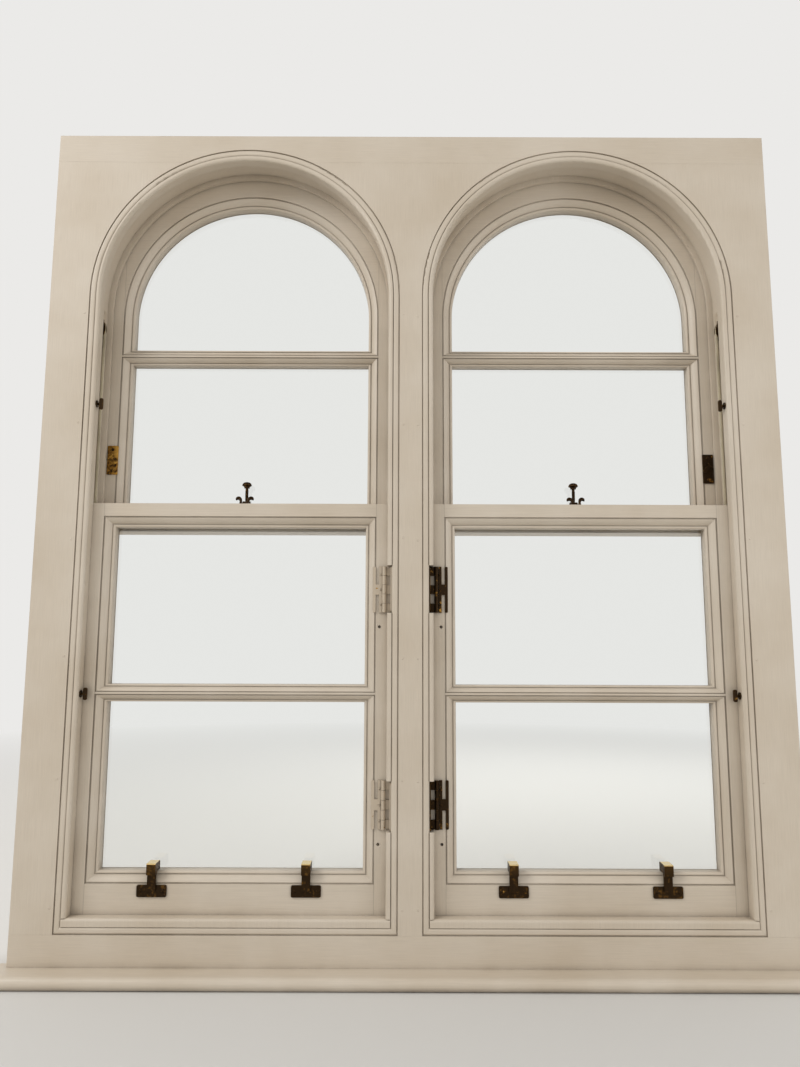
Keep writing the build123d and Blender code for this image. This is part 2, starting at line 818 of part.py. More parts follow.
def pane_shapes(name):
    """Foot, top and whether the pane is arched, for the two panes of a sash at the sight line."""
    if name == "lower":
        return [
            (sash_seat + bottom_rail_height, lower_bar_z - half_bar, False),
            (lower_bar_z + half_bar, lower_top - meeting_rail_height, False),
        ]
    return [
        (lower_top, upper_bar_z - half_bar, False),
        (upper_bar_z + half_bar, sight_spring_z, True),
    ]


def pane_sketch(x, foot, top, arched, grow):
    if arched:
        return tombstone(x, half_sight + grow, foot - grow, top)
    return rect(x - half_sight - grow, x + half_sight + grow, foot - grow, top + grow)


def make_panes(name, light):
    y0 = (lower_face if name == "lower" else upper_face) + glass_depth
    return [slab(pane_sketch(light * light_x, *shape, glass_cover), y0, y0 + glass_thickness)
            for shape in pane_shapes(name)]


def make_putty(name, light):
    """A bevelled fillet of putty round each pane, on the outer side."""
    back = (lower_face if name == "lower" else upper_face) + glass_depth + glass_thickness
    x = light * light_x
    bevel = outline((0, back), (rebate_width, back), (rebate_width, back + putty_reach - rebate_play),
                    (0, back + rebate_play))
    rings = []
    for foot, top, arched in pane_shapes(name):
        ends = [(foot, -1)] if arched else [(foot, -1), (top, 1)]
        ring = []
        for z, side in ends:
            reach = half_sight + rebate_width
            strip = level(bevel, z, side, x - reach, x + reach)
            for end in sides:
                strip = mitred(strip, x + end * half_sight, z, (end, side), (-end, 0))
            ring.append(strip)
        for side in sides:
            edge = x + side * half_sight
            strip = upright(bevel, edge, side, foot - rebate_width, top if arched else top + rebate_width)
            strip = mitred(strip, edge, foot, (side, -1), (0, 1))
            if not arched:
                strip = mitred(strip, edge, top, (side, 1), (0, -1))
            ring.append(strip)
        if arched:
            ring.append(half_ring(bevel, x, top, half_sight))
        whole = ring[0]
        for strip in ring[1:]:
            whole += strip
        rings.append(whole)
    return rings


# Cords, pulleys and weights
def make_cord(face, side, outer, y, knot_z, weight_top):
    radius, _ = pulley_size(outer)
    front = face - side * cord_reach
    centre = front + side * radius
    back = centre + side * radius
    end = weight_top - weight_bore_depth + cord_tail
    half = cord_diameter / 2
    cord = Pos(front, y, (knot_z + pulley_z) / 2) * Cylinder(half, pulley_z - knot_z)
    cord += Pos(back, y, (end + pulley_z) / 2) * Cylinder(half, pulley_z - end)
    section = Plane((centre + radius, y, pulley_z), x_dir=(1, 0, 0), z_dir=(0, 0, 1)) * Circle(half)
    cord += revolve(section, axis=Axis((centre, y, pulley_z), (0, -1, 0)), revolution_arc=180)
    cord += Pos(face - side * knot_reach, y, knot_z) * Cylinder(knot_diameter / 2, knot_length)
    return cord, pulley_z - knot_z + math.pi * radius + pulley_z - end


def make_wheel(centre, y, outer):
    """Turned wheel: a hub, a pierced web and a rim with the groove that the cord lies in."""
    radius, rim = pulley_size(outer)
    half, bore = pulley_thickness / 2, axle_radius + axle_play
    seat = radius - cord_diameter / 2 - cord_play
    flank = cord_diameter / 2 + cord_play
    corner = flank * math.tan(math.radians(22.5))
    web = half - web_recess
    section = outline(
        (bore, -half), (seat - web_step, -half), (seat - web_step, -web), (rim - rim_round, -web),
        (rim, -flank - rim_flare), (radius - corner, -flank), (seat, -corner), (seat, corner),
        (radius - corner, flank), (rim, flank + rim_flare), (rim - rim_round, web), (seat - web_step, web),
        (seat - web_step, half), (bore, half),
    )
    wheel = revolve(Plane((0, 0, 0), x_dir=(1, 0, 0), z_dir=(0, 0, 1)) * section, axis=Axis.Y)
    middle = (bore + seat) / 2
    for turn in range(web_holes):
        angle = 2 * math.pi * turn / web_holes
        hole = Pos(middle * math.cos(angle), 0, middle * math.sin(angle)) * Rot(90, 0, 0)
        wheel -= hole * Cylinder((seat - bore) * web_hole_share, 2 * pulley_thickness)
    return Pos(centre, y, pulley_z) * wheel


def make_case(face, side, centre, y, outer):
    """Face plate let into the pulley stile, with two cheeks behind it that carry the axle."""
    _, rim = pulley_size(outer)
    half_plate = rim + case_margin
    inner = face + side * case_plate_thickness
    case = block((face, inner), (y - case_plate_width / 2, y + case_plate_width / 2),
                 (pulley_z - half_plate, pulley_z + half_plate))
    offset = abs(centre - face)
    reach = offset + axle_radius + case_cheek_reach
    half_cheek = axle_radius + case_cheek_height
    for hand in sides:
        near, far = y + hand * case_half_slot, y + hand * (case_half_slot + case_cheek_thickness)
        case += block((inner, face + side * reach), (near, far),
                      (pulley_z - half_cheek, pulley_z + half_cheek))
    chord = math.sqrt((rim + slot_clear) ** 2 - (offset - case_plate_thickness) ** 2)
    case -= block((face - side * overcut, inner), (y - case_half_slot, y + case_half_slot),
                  (pulley_z - chord, pulley_z + chord))
    length = 2 * (case_half_slot + case_cheek_thickness)
    pin = Pos(centre, y, pulley_z) * Rot(90, 0, 0) * Cylinder(axle_radius, length)
    return [case - pin, pin]


def weight_bore():
    length = weight_bore_depth + overcut
    return Pos(0, 0, overcut - length / 2) * Cylinder(cord_diameter / 2 + weight_bore_play, length)


def weight_body(outer, length):
    if outer:
        body = Pos(0, 0, length / 2) * Cylinder(round_weight_diameter / 2, length)
        return chamfer(body.edges().filter_by(GeomType.CIRCLE), round_weight_chamfer)
    body = Pos(0, 0, length / 2) * Box(flat_weight_width, flat_weight_depth, length)
    return chamfer(body.edges().filter_by(Axis.Z), flat_weight_chamfer)


def make_weights(light, y, mass, top=None, foot=None):
    """A round weight in the outer box and a flat one in the mullion, which share the sash's mass."""
    weights, tops = [], {}
    for side in sides:
        outer = side == light
        face = light * light_x + side * half_light
        radius, _ = pulley_size(outer)
        x = face + side * (2 * radius - cord_reach)
        area = math.pi * round_weight_diameter ** 2 / 4 if outer else flat_weight_width * flat_weight_depth
        length = mass / 2 / iron_density / area
        for _ in range(2):
            high = top if top is not None else foot + length
            body = weight_body(outer, length) - Pos(0, 0, length) * weight_bore()
            length += (mass / 2 / iron_density - body.volume) / area
        body = weight_body(outer, length) - Pos(0, 0, length) * weight_bore()
        weights.append(Pos(x, y, high - length) * body)
        tops[side] = high
    return weights, tops


# Brass fittings on the frame
def hinge_pins():
    """Light, mullion face, pin X and level of each swing hinge beside the mullion."""
    for light in sides:
        face = light * mullion_width / 2
        for z in hinge_levels:
            yield light, face, face + light * hinge_pin_offset, z


def hinge_barrels():
    """Low and high end of the knuckles of a hinge, from the foot up."""
    height = hinge_height - 2 * hinge_leaf_height_gap
    step = height / hinge_knuckles
    gap = hinge_leaf_height_gap / (hinge_knuckles - 1)
    starts = [step * n - height / 2 for n in range(hinge_knuckles)]
    return [(low + gap, low + step - gap) for low in starts]


def hinge_axis_y():
    return lower_face - hinge_clear - hinge_barrel_radius


def knuckle(x, z, low, high):
    return Pos(x, hinge_axis_y(), z + (low + high) / 2) * Cylinder(hinge_barrel_radius, high - low)


def hinge_hole(x, z, play):
    return Pos(x, hinge_axis_y(), z) * Cylinder(hinge_pin_radius + play, 2 * hinge_height)


def make_hinge_leaves():
    leaves = []
    half = hinge_height / 2 - hinge_leaf_height_gap
    back = hinge_axis_y() + hinge_barrel_radius
    for light, face, pin_x, z in hinge_pins():
        leaf = block((face, face + light * hinge_plate), (hinge_leaf_front, back), (z - half, z + half))
        leaf = fillet(leaf.edges().filter_by(Axis.X).group_by(Axis.Y)[0], hinge_leaf_round)
        for low, high in hinge_barrels()[::2]:
            leaf += block((face, pin_x), (back - hinge_plate, back), (z + low, z + high))
            leaf += knuckle(pin_x, z, low, high)
        leaf -= hinge_hole(pin_x, z, 0)
        leaves += [leaf, Pos(pin_x, hinge_axis_y(), z) * Cylinder(hinge_pin_radius, 2 * half)]
    return leaves


def make_hinge_flaps(light):
    """Flaps that lie over the stile: a plate on the knuckles, a tongue and an outer strip."""
    flaps = []
    half = hinge_height / 2 - hinge_leaf_height_gap
    back = hinge_axis_y() + hinge_barrel_radius
    depth = (back - hinge_plate, back)
    for side, _, pin_x, z in hinge_pins():
        if side != light:
            continue
        start = pin_x + light * (hinge_barrel_radius + hinge_flap_clear)
        strip = pin_x + light * hinge_strip_start
        flap = block((start, pin_x + light * hinge_flap_reach), depth, (z - half, z + half))
        outer = block((strip, strip + light * hinge_strip_width), depth, (z - half, z + half))
        flap += fillet(outer.edges().filter_by(Axis.Y), hinge_flap_round)
        flap += block((start, strip + light * hinge_strip_width / 2), depth,
                      (z - hinge_tongue_height / 2, z + hinge_tongue_height / 2))
        for low, high in hinge_barrels()[1::2]:
            flap += block((pin_x, start), depth, (z + low, z + high))
            flap += knuckle(pin_x, z, low, high)
        flap -= hinge_hole(pin_x, z, axle_play)
        for height in (-hinge_hole_spacing, 0, hinge_hole_spacing):
            hole = Pos(pin_x + light * hinge_hole_inset, back, z + height) * Rot(90, 0, 0)
            flap -= hole * Cylinder(hinge_hole_radius, 3 * hinge_plate)
        flaps.append(flap)
    return flaps


def make_bead_turns():
    """Thumb screws that hold the removable staff beads to the outer pulley stiles."""
    turns = []
    for side in sides:
        face = side * (light_x + half_light - staff_bead_proud)
        neck_end = turn_washer_thickness + turn_neck_length
        for z in turn_levels:
            def along(start, end, shape, out=side, x=face, level=z):
                return Pos(x - out * (start + end) / 2, staff_bead_depth / 2, level) * shape
            lying = Rot(0, 90, 0)
            washer = lying * Cylinder(turn_washer_radius, turn_washer_thickness)
            washer = along(0, turn_washer_thickness, washer)
            neck = along(0, neck_end, lying * Cylinder(turn_screw_diameter / 2, neck_end))
            wing = Box(turn_wing_length, turn_wing_thickness, turn_wing_height)
            wing = fillet(wing.edges().filter_by(Axis.Y), turn_wing_round)
            turns.append(washer + neck + along(neck_end, neck_end + turn_wing_length - overcut, wing))
    return turns


# Brass fittings on the sashes
def hood_profile():
    """Side view of a lift's hood: a ledge at the front, and a flat top back over the moulding."""
    front, back = lower_face - lift_hood_front, lower_face + lift_hood_back
    foot = sash_seat + lift_hood_level
    top, turn = foot + lift_hood_height, lift_hood_round
    inset = turn * (1 - math.sqrt(0.5))
    over = sash_seat + bottom_rail_height + lift_hood_clear
    step = lower_face - lift_step_clear
    return outline(
        (front, foot), (front, top - turn), ((front + inset, top - inset), (front + turn, top)),
        (back - turn, top), ((back - inset, top - inset), (back, top - turn)), (back, over), (step, over),
        (step, foot),
    )


def make_lifts(light):
    """Lifts: a plate on the bottom rail, and a stem that rises to a hood over the moulding."""
    foot = sash_seat + lift_plate_foot
    front = lower_face - lift_plate_thickness
    lifts = []
    for side in sides:
        x = light * light_x + side * lift_spacing / 2
        plate = block((x - lift_plate_width / 2, x + lift_plate_width / 2), (front, lower_face),
                      (foot, foot + lift_plate_height))
        plate = fillet(plate.edges().filter_by(Axis.Y), lift_plate_round)
        for end in sides:
            hole_x = x + end * (lift_plate_width / 2 - lift_hole_inset)
            hole = Pos(hole_x, lower_face, foot + lift_plate_height / 2) * Rot(90, 0, 0)
            plate -= hole * Cylinder(screw_hole_radius, 3 * lift_plate_thickness)
        stem = block((x - lift_stem_width / 2, x + lift_stem_width / 2),
                     (lower_face - lift_step_clear - lift_stem_thickness, lower_face - lift_step_clear),
                     (foot + lift_plate_height / 2, sash_seat + lift_hood_level + lift_stem_lap))
        hood = across(hood_profile(), x - lift_hood_width / 2, x + lift_hood_width / 2)
        lifts.append(plate + stem + hood)
    return lifts


def fastener_pivot():
    """Y and Z of the fastener's pivot on the upper meeting rail."""
    near = lower_back + meeting_gap + meeting_splay
    y = (near + upper_face + glass_depth) / 2 - fastener_plate_inset
    return y, lower_top + fastener_plate_thickness + fastener_pivot_height


def lying_pin(x, y, z, radius, length):
    return Pos(x, y, z) * Rot(0, 90, 0) * Cylinder(radius, length)


def make_fastener_base(light):
    x = light * light_x
    y, z = fastener_pivot()
    plate = block((x - fastener_plate_width / 2, x + fastener_plate_width / 2),
                  (y - fastener_plate_depth / 2, y + fastener_plate_depth / 2),
                  (lower_top, lower_top + fastener_plate_thickness))
    base = fillet(plate.edges().filter_by(Axis.Z), fastener_plate_round)
    gap = fastener_arm_diameter / 2 + fastener_play
    for side in sides:
        near, far = x + side * gap, x + side * (gap + fastener_lug_thickness)
        base += block((near, far), (y - fastener_lug_radius, y + fastener_lug_radius), (lower_top, z))
        base += lying_pin((near + far) / 2, y, z, fastener_lug_radius, fastener_lug_thickness)
    pin = lying_pin(x, y, z, fastener_pin_radius, 2 * (gap + fastener_lug_thickness))
    return [base - pin, pin]


def make_fastener_arm(light):
    x = light * light_x
    y, z = fastener_pivot()
    length = fastener_reach - knob_crown - knob_travel - rod_end_play
    arm = lying_pin(x, y, z, fastener_eye_radius, fastener_arm_diameter)
    arm += Pos(x, y, z + length / 2) * Cylinder(fastener_rod_radius, length)
    return arm - lying_pin(x, y, z, fastener_pin_radius + axle_play, 2 * fastener_arm_diameter)


def make_knob(light):
    x = light * light_x
    y, z = fastener_pivot()
    top = z + fastener_reach
    foot = top - knob_height
    radius, neck = knob_diameter / 2, knob_diameter / 2 * knob_neck_share
    shoulder = (radius, foot + knob_flare_height)
    rim = (neck, top - knob_rim_drop)
    crown = (knob_tip_radius, top)
    section = outline(
        (0, foot), (neck, foot), (neck, foot + knob_neck_height), shoulder,
        ((radius - knob_tip_radius / 2, top - knob_shoulder_drop), rim),
        (((rim[0] + crown[0]) / 2, top - knob_rim_drop / 3), crown), (0, top),
    )
    plane = Plane((x, y, 0), x_dir=(1, 0, 0), z_dir=(0, -1, 0))
    knob = revolve(plane * section, axis=Axis((x, y, 0), (0, 0, 1)))
    hole = knob_height - knob_crown
    cutter = Cylinder(fastener_rod_radius + axle_play, hole + overcut)
    return knob - Pos(x, y, foot + (hole - overcut) / 2) * cutter


def make_keep(light):
    """Horned keep on the lower meeting rail, with a slot that the fastener's arm drops into."""
    x = light * light_x
    pivot_y, _ = fastener_pivot()
    back = lower_back + meeting_splay - keep_back_inset
    horn_front = pivot_y - (fastener_reach - knob_height - knob_travel - keep_clear)
    front = horn_front - keep_margin
    left = x - keep_slot / 2 - keep_offset
    plate = block((left, left + keep_width), (front, back),
                  (lower_top, lower_top + fastener_plate_thickness))
    keep = fillet(plate.edges().filter_by(Axis.Z), keep_plate_round)
    for side in sides:
        near = x + side * keep_slot / 2
        horn = block((near, near + side * keep_horn_width), (horn_front, horn_front + keep_wall),
                     (lower_top, lower_top + keep_height))
        keep += fillet(horn.edges().filter_by(Axis.X).group_by(Axis.Z)[-1], keep_horn_round)
    screw_x = left + keep_width - keep_offset
    return keep - Pos(screw_x, (front + back) / 2, lower_top) * Cylinder(screw_hole_radius, keep_height)


def stop_middle(light):
    """X and Z of the middle of the stop plate on the outer stile."""
    outer = light_x + half_light - parting_bead_proud - sash_side_gap - stop_plate_clear
    return light * (outer - stop_plate_width / 2), lower_top + stop_rises[0 if light < 0 else 1]


def stop_plane(light):
    """Plane at the tongue's pivot: X along the tongue, Z along the pin."""
    x, z = stop_middle(light)
    along = (-light * math.sqrt(0.5), 0, -math.sqrt(0.5))
    pin_y = upper_face - stop_plate_thickness - stop_pin_stand
    origin = (x + light * stop_pivot[0], pin_y, z + stop_pivot[1])
    return Plane(origin, x_dir=along, z_dir=(along[2], 0, -along[0]))


def make_stop_plate(light):
    x, z = stop_middle(light)
    plate = block((x - stop_plate_width / 2, x + stop_plate_width / 2),
                  (upper_face - stop_plate_thickness, upper_face),
                  (z - stop_plate_height / 2, z + stop_plate_height / 2))
    plate = fillet(plate.edges().filter_by(Axis.Y), stop_plate_round)
    for end in sides:
        hole_z = z + end * (stop_plate_height / 2 - stop_hole_inset)
        hole = Pos(x, upper_face, hole_z) * Rot(90, 0, 0)
        plate -= hole * Cylinder(screw_hole_radius, 3 * stop_plate_thickness)
    plane = stop_plane(light)
    toward = stop_pin_stand / 2 if plane.y_dir.Y > 0 else -stop_pin_stand / 2
    reach = stop_tongue_width / 2 + stop_lug_gap + stop_lug_width / 2
    foot = Box(2 * stop_lug_radius, stop_pin_stand, stop_lug_width)
    for side in sides:
        plate += plane * Pos(0, 0, side * reach) * Cylinder(stop_lug_radius, stop_lug_width)
        plate += plane * Pos(0, toward, side * reach) * foot
    pin = plane * Cylinder(stop_pin_radius, 2 * reach + stop_lug_width)
    return [plate - pin, pin]


def make_stop_tongue(light):
    width = stop_tongue_width - 2 * stop_tongue_play
    tongue = Pos(stop_tongue_length / 2, 0, 0) * Box(stop_tongue_length, stop_tongue_thickness, width)
    tongue = fillet(tongue.edges().filter_by(Axis.Y).group_by(Axis.X)[-1], stop_tongue_round)
    tongue += Cylinder(stop_tongue_thickness / 2 + stop_eye_wall, width)
    tongue -= Cylinder(stop_pin_radius + axle_play, 2 * stop_tongue_width)
    return stop_plane(light) * tongue


# The whole window
def volume(shapes):
    return sum(s.volume for shape in shapes for s in shape.solids())


def main():
    os.makedirs("parts", exist_ok=True)
    sill = make_sill()
    save("sill", [sill])
    save("window_board", [make_window_board()])
    for name, board in make_linings().items():
        save(name, [board])
    parting_beads = make_parting_beads(sill)
    save("parting_beads", parting_beads)
    stiles, pockets = make_pulley_stiles(sill, parting_beads)
    save("pulley_stiles", stiles)
    save("pocket_pieces", pockets)
    save("arched_soffits", make_soffits(parting_beads))
    save("outer_linings", make_outer_linings(sill))
    save("carcase_boards", make_carcase_boards(sill))
    save("parting_slips", make_parting_slips())
    fixed, removable = make_staff_beads()
    save("staff_beads", fixed)
    save("removable_beads", removable)
    save("bead_turns", make_bead_turns())
    save("hinge_leaves", make_hinge_leaves())
    masses = {}
    for light in sides:
        hand = side_name(light)
        save(f"hinge_flaps_{hand}", make_hinge_flaps(light))
        lower, upper = make_lower_sash(light, sill), make_upper_sash(light)
        brass = {"lower": [], "upper": []}
        for name, members in (("lower", lower), ("upper", upper)):
            panes, putty = make_panes(name, light), make_putty(name, light)
            save(f"{name}_sash_{hand}", members)
            save(f"{name}_panes_{hand}", panes)
            save(f"{name}_putty_{hand}", putty)
            masses[name, light] = (volume(members) * timber_density + volume(panes) * glass_density
                                   + volume(putty) * putty_density)
        pieces = {
            f"lifts_{hand}": ("lower", make_lifts(light)),
            f"keep_{hand}": ("lower", [make_keep(light)]),
            f"fastener_base_{hand}": ("upper", make_fastener_base(light)),
            f"fastener_arm_{hand}": ("upper", [make_fastener_arm(light)]),
            f"fastener_knob_{hand}": ("upper", [make_knob(light)]),
            f"stop_plate_{hand}": ("upper", make_stop_plate(light)),
            f"stop_tongue_{hand}": ("upper", [make_stop_tongue(light)]),
        }
        for name, (sash, shapes) in pieces.items():
            save(name, shapes)
            masses[sash, light] += volume(shapes) * brass_density
    cases, cords = [], []
    for light in sides:
        hand = side_name(light)
        for name, y0 in (("lower", lower_face), ("upper", upper_face)):
            y = y0 + sash_thickness / 2
            mass = masses[name, light]
            if name == "lower":
                weights, tops = make_weights(light, y, mass, top=pulley_z - lower_weight_drop)
            else:
                weights, tops = make_weights(light, y, mass, foot=sash_seat + upper_weight_lift)
            save(f"{name}_weights_{hand}", weights)
            print(f"{name} sash {hand}: {mass:.2f} kg")
            for side in sides:
                face = light * light_x + side * half_light
                cord, length = make_cord(face, side, side == light, y, knot_levels[name], tops[side])
                cords.append(cord)
                print(f"cord {name} {hand} {side_name(side)}: {length:.0f} mm")
    for sash, light, side, face, centre, y, outer in pulley_places():
        place = "outer" if outer else "inner"
        save(f"{sash}_wheel_{side_name(light)}_{place}", [make_wheel(centre, y, outer)])
        cases += make_case(face, side, centre, y, outer)
    save("pulley_cases", cases)
    save("sash_cords", cords)


main()
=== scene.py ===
import bpy
import bmesh
import math
from mathutils import Matrix, Vector


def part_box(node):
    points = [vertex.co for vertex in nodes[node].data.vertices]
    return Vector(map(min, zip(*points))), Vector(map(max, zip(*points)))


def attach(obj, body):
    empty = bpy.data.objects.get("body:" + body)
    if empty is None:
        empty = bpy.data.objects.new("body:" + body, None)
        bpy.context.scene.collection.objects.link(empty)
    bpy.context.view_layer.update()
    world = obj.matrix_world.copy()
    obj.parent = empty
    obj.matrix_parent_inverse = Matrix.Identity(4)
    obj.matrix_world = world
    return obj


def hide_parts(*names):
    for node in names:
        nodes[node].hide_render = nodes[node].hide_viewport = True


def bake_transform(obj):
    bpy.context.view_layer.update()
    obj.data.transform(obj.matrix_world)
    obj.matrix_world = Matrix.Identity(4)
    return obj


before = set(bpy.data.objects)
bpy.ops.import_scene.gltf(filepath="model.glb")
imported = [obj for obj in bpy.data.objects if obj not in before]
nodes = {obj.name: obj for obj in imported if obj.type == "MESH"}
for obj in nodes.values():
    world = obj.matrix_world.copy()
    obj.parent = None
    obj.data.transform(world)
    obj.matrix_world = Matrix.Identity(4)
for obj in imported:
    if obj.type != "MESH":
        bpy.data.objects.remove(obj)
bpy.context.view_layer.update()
scene = bpy.context.scene
hands = {"left": -1, "right": 1}
print("frame loaded:", len(nodes), "nodes")


def linear(code):  # sRGB hex to the linear colour that a shader wants
    parts = [int(code[i:i + 2], 16) / 255 for i in (0, 2, 4)]
    return [c / 12.92 if c <= 0.04045 else ((c + 0.055) / 1.055) ** 2.4 for c in parts] + [1.0]


def addNode(tree, kind, inputs=(), out=0, **settings):  # inputs by name or in order, each a value or a link
    node = tree.nodes.new(kind)
    for key, value in settings.items():
        setattr(node, key, value)
    for key, value in inputs.items() if isinstance(inputs, dict) else enumerate(inputs):
        if isinstance(value, bpy.types.NodeSocket):
            tree.links.new(value, node.inputs[key])
        else:
            node.inputs[key].default_value = value
    return node if out is None else node.outputs[out]


def newMaterial(name):
    material = bpy.data.materials.new(name)
    material.use_nodes = True
    material.node_tree.nodes.clear()
    return material, material.node_tree


def closeMaterial(tree, looks):  # the surface, with its constants and its patterns
    surface = addNode(tree, "ShaderNodeBsdfPrincipled", looks)
    addNode(tree, "ShaderNodeOutputMaterial", {"Surface": surface}, None)


def layCoats(tree, colour, coats):  # colours laid over one another, each as strongly as its factor says
    for factor, code in coats:
        colour = addNode(tree, "ShaderNodeMix", {0: factor, 6: colour, 7: linear(code)}, 2, data_type="RGBA")
    return colour


# linseed oil paint over softwood: brushed on, so it has fine strokes along each member, soft arrises
# and a satin sheen, with painted shade and patchy old dirt where members meet, and the undercoat showing on
# worn edges
oilPaint = {
    "colour": "D3C7B6",
    "aged": "C6B7A2",
    # dark brown for brush marks, joints, and painted shade with dirt in hollows
    "dirtAndShade": "5E5244",
    "undercoat": "A8957C",
    "strokeWidth": 0.0011,
    "strokeLength": 0.060,
    "strokeDepth": 0.0004,
    "patch": 0.18,
    "arris": 0.0009,
    # how far and how strongly the painted shade with dirt darkens hollows
    "shadeAndDirtReach": 0.018,
    "hollowDarkening": 0.55,
    "roughness": 0.42,
    "shoulder": 0.276,  # where rails meet stiles, from the middle of a light
    "hairline": 0.0009,  # the open joint there
    "edge": 0.0002,  # how sharply the strokes turn there
}


def paintMaterial(name, run, centre=0.0):  # run: up, across, or sash, whose members lie round a centre
    material, tree = newMaterial(name)
    at = addNode(tree, "ShaderNodeTexCoord", out="Object")
    facing = addNode(tree, "ShaderNodeNewGeometry", out="Normal")
    across, along = 1 / oilPaint["strokeWidth"], 1 / oilPaint["strokeLength"]
    strokes = {}
    for way, scale in (("up", (across, across, along)), ("across", (along, across, across))):
        turned = addNode(tree, "ShaderNodeMapping", {"Vector": at, "Scale": scale})
        strokes[way] = addNode(tree, "ShaderNodeTexNoise", {
            "Vector": turned, "Scale": 1.0, "Detail": 3.0, "Roughness": 0.6}, "Fac")
    patch = addNode(tree, "ShaderNodeTexNoise", {
        "Vector": at, "Scale": 1 / oilPaint["patch"], "Detail": 4.0, "Roughness": 0.55}, "Fac")
    # darker in the hollows where members meet: painted shade, made patchy like old dirt
    hollow = addNode(tree, "ShaderNodeAmbientOcclusion", {
        "Distance": oilPaint["shadeAndDirtReach"]}, "AO", samples=6)
    corner = addNode(tree, "ShaderNodeMapRange", (hollow, 0.25, 0.85, 1.0, 0.0))
    uneven = addNode(tree, "ShaderNodeMapRange", (
        patch, 0.35, 0.65, 0.35 * oilPaint["hollowDarkening"], 0.95 * oilPaint["hollowDarkening"]))
    hollowDarkening = addNode(tree, "ShaderNodeMath", (corner, uneven), operation="MULTIPLY")
    if run == "sash":  # stiles and the moulding along them are brushed up, what lies between them across
        shoulder = oilPaint["shoulder"]
        x = addNode(tree, "ShaderNodeSeparateXYZ", (at,))
        offset = addNode(tree, "ShaderNodeMath", (x, centre), operation="SUBTRACT")
        aside = addNode(tree, "ShaderNodeMath", (offset,), operation="ABSOLUTE")
        sideways = addNode(tree, "ShaderNodeSeparateXYZ", (facing,))
        sideways = addNode(tree, "ShaderNodeMath", (sideways,), operation="ABSOLUTE")
        stile = addNode(tree, "ShaderNodeMapRange", (
            aside, shoulder - oilPaint["edge"], shoulder + oilPaint["edge"]))
        moulding = addNode(tree, "ShaderNodeMapRange", (sideways, 0.10, 0.16))
        upright = addNode(tree, "ShaderNodeMath", (stile, moulding), operation="MAXIMUM")
        stroke = addNode(tree, "ShaderNodeMix", {0: upright, 2: strokes["across"], 3: strokes["up"]})
        beyond = addNode(tree, "ShaderNodeMath", (aside, shoulder), operation="SUBTRACT")
        beyond = addNode(tree, "ShaderNodeMath", (beyond,), operation="ABSOLUTE")
        joint = addNode(tree, "ShaderNodeMapRange", (beyond, 0.0, oilPaint["hairline"], 0.35, 0.0))
    else:
        stroke, joint = strokes[run], None
    # coats: patchy age, brush marks, and painted shade with dirt in hollows
    coats = [(addNode(tree, "ShaderNodeMapRange", (patch, 0.35, 0.72, 0.0, 0.75)), oilPaint["aged"]),
             (addNode(tree, "ShaderNodeMapRange", (stroke, 0.35, 0.7, 0.0, 0.10)), oilPaint["dirtAndShade"]),
             (hollowDarkening, oilPaint["dirtAndShade"])]
    if joint:
        coats.append((joint, oilPaint["dirtAndShade"]))
    soft = addNode(tree, "ShaderNodeBevel", {"Radius": oilPaint["arris"]}, samples=4)
    bent = addNode(tree, "ShaderNodeVectorMath", (facing, soft), "Value", operation="DOT_PRODUCT")
    edges = addNode(tree, "ShaderNodeMapRange", (bent, 0.985, 0.86))
    worn = addNode(tree, "ShaderNodeMapRange", (patch, 0.50, 0.62, 0.0, 0.75))
    rubbed = addNode(tree, "ShaderNodeMath", (edges, worn), operation="MULTIPLY")
    coats.append((rubbed, oilPaint["undercoat"]))
    sheen = addNode(tree, "ShaderNodeMapRange", (
        stroke, 0.3, 0.7, oilPaint["roughness"] - 0.06, oilPaint["roughness"] + 0.10))
    bump = addNode(tree, "ShaderNodeBump", {
        "Strength": 0.28, "Distance": oilPaint["strokeDepth"], "Height": stroke, "Normal": soft})
    closeMaterial(tree, {
        "Base Color": layCoats(tree, linear(oilPaint["colour"]), coats), "Roughness": sheen, "Normal": bump})
    return material


# red deal left bare inside the boxes: sawn and planed softwood, gone brown, with a broad figure of growth
# rings along it and a fine fibre
bareDeal = {
    "colour": "9A7A54", "ring": "6E4E30", "figure": 0.05655, "drawnOut": 0.06,
    "fibreWidth": 1 / 900, "fibreLength": 0.040, "fibreDepth": 0.0005, "roughness": 0.75,
}


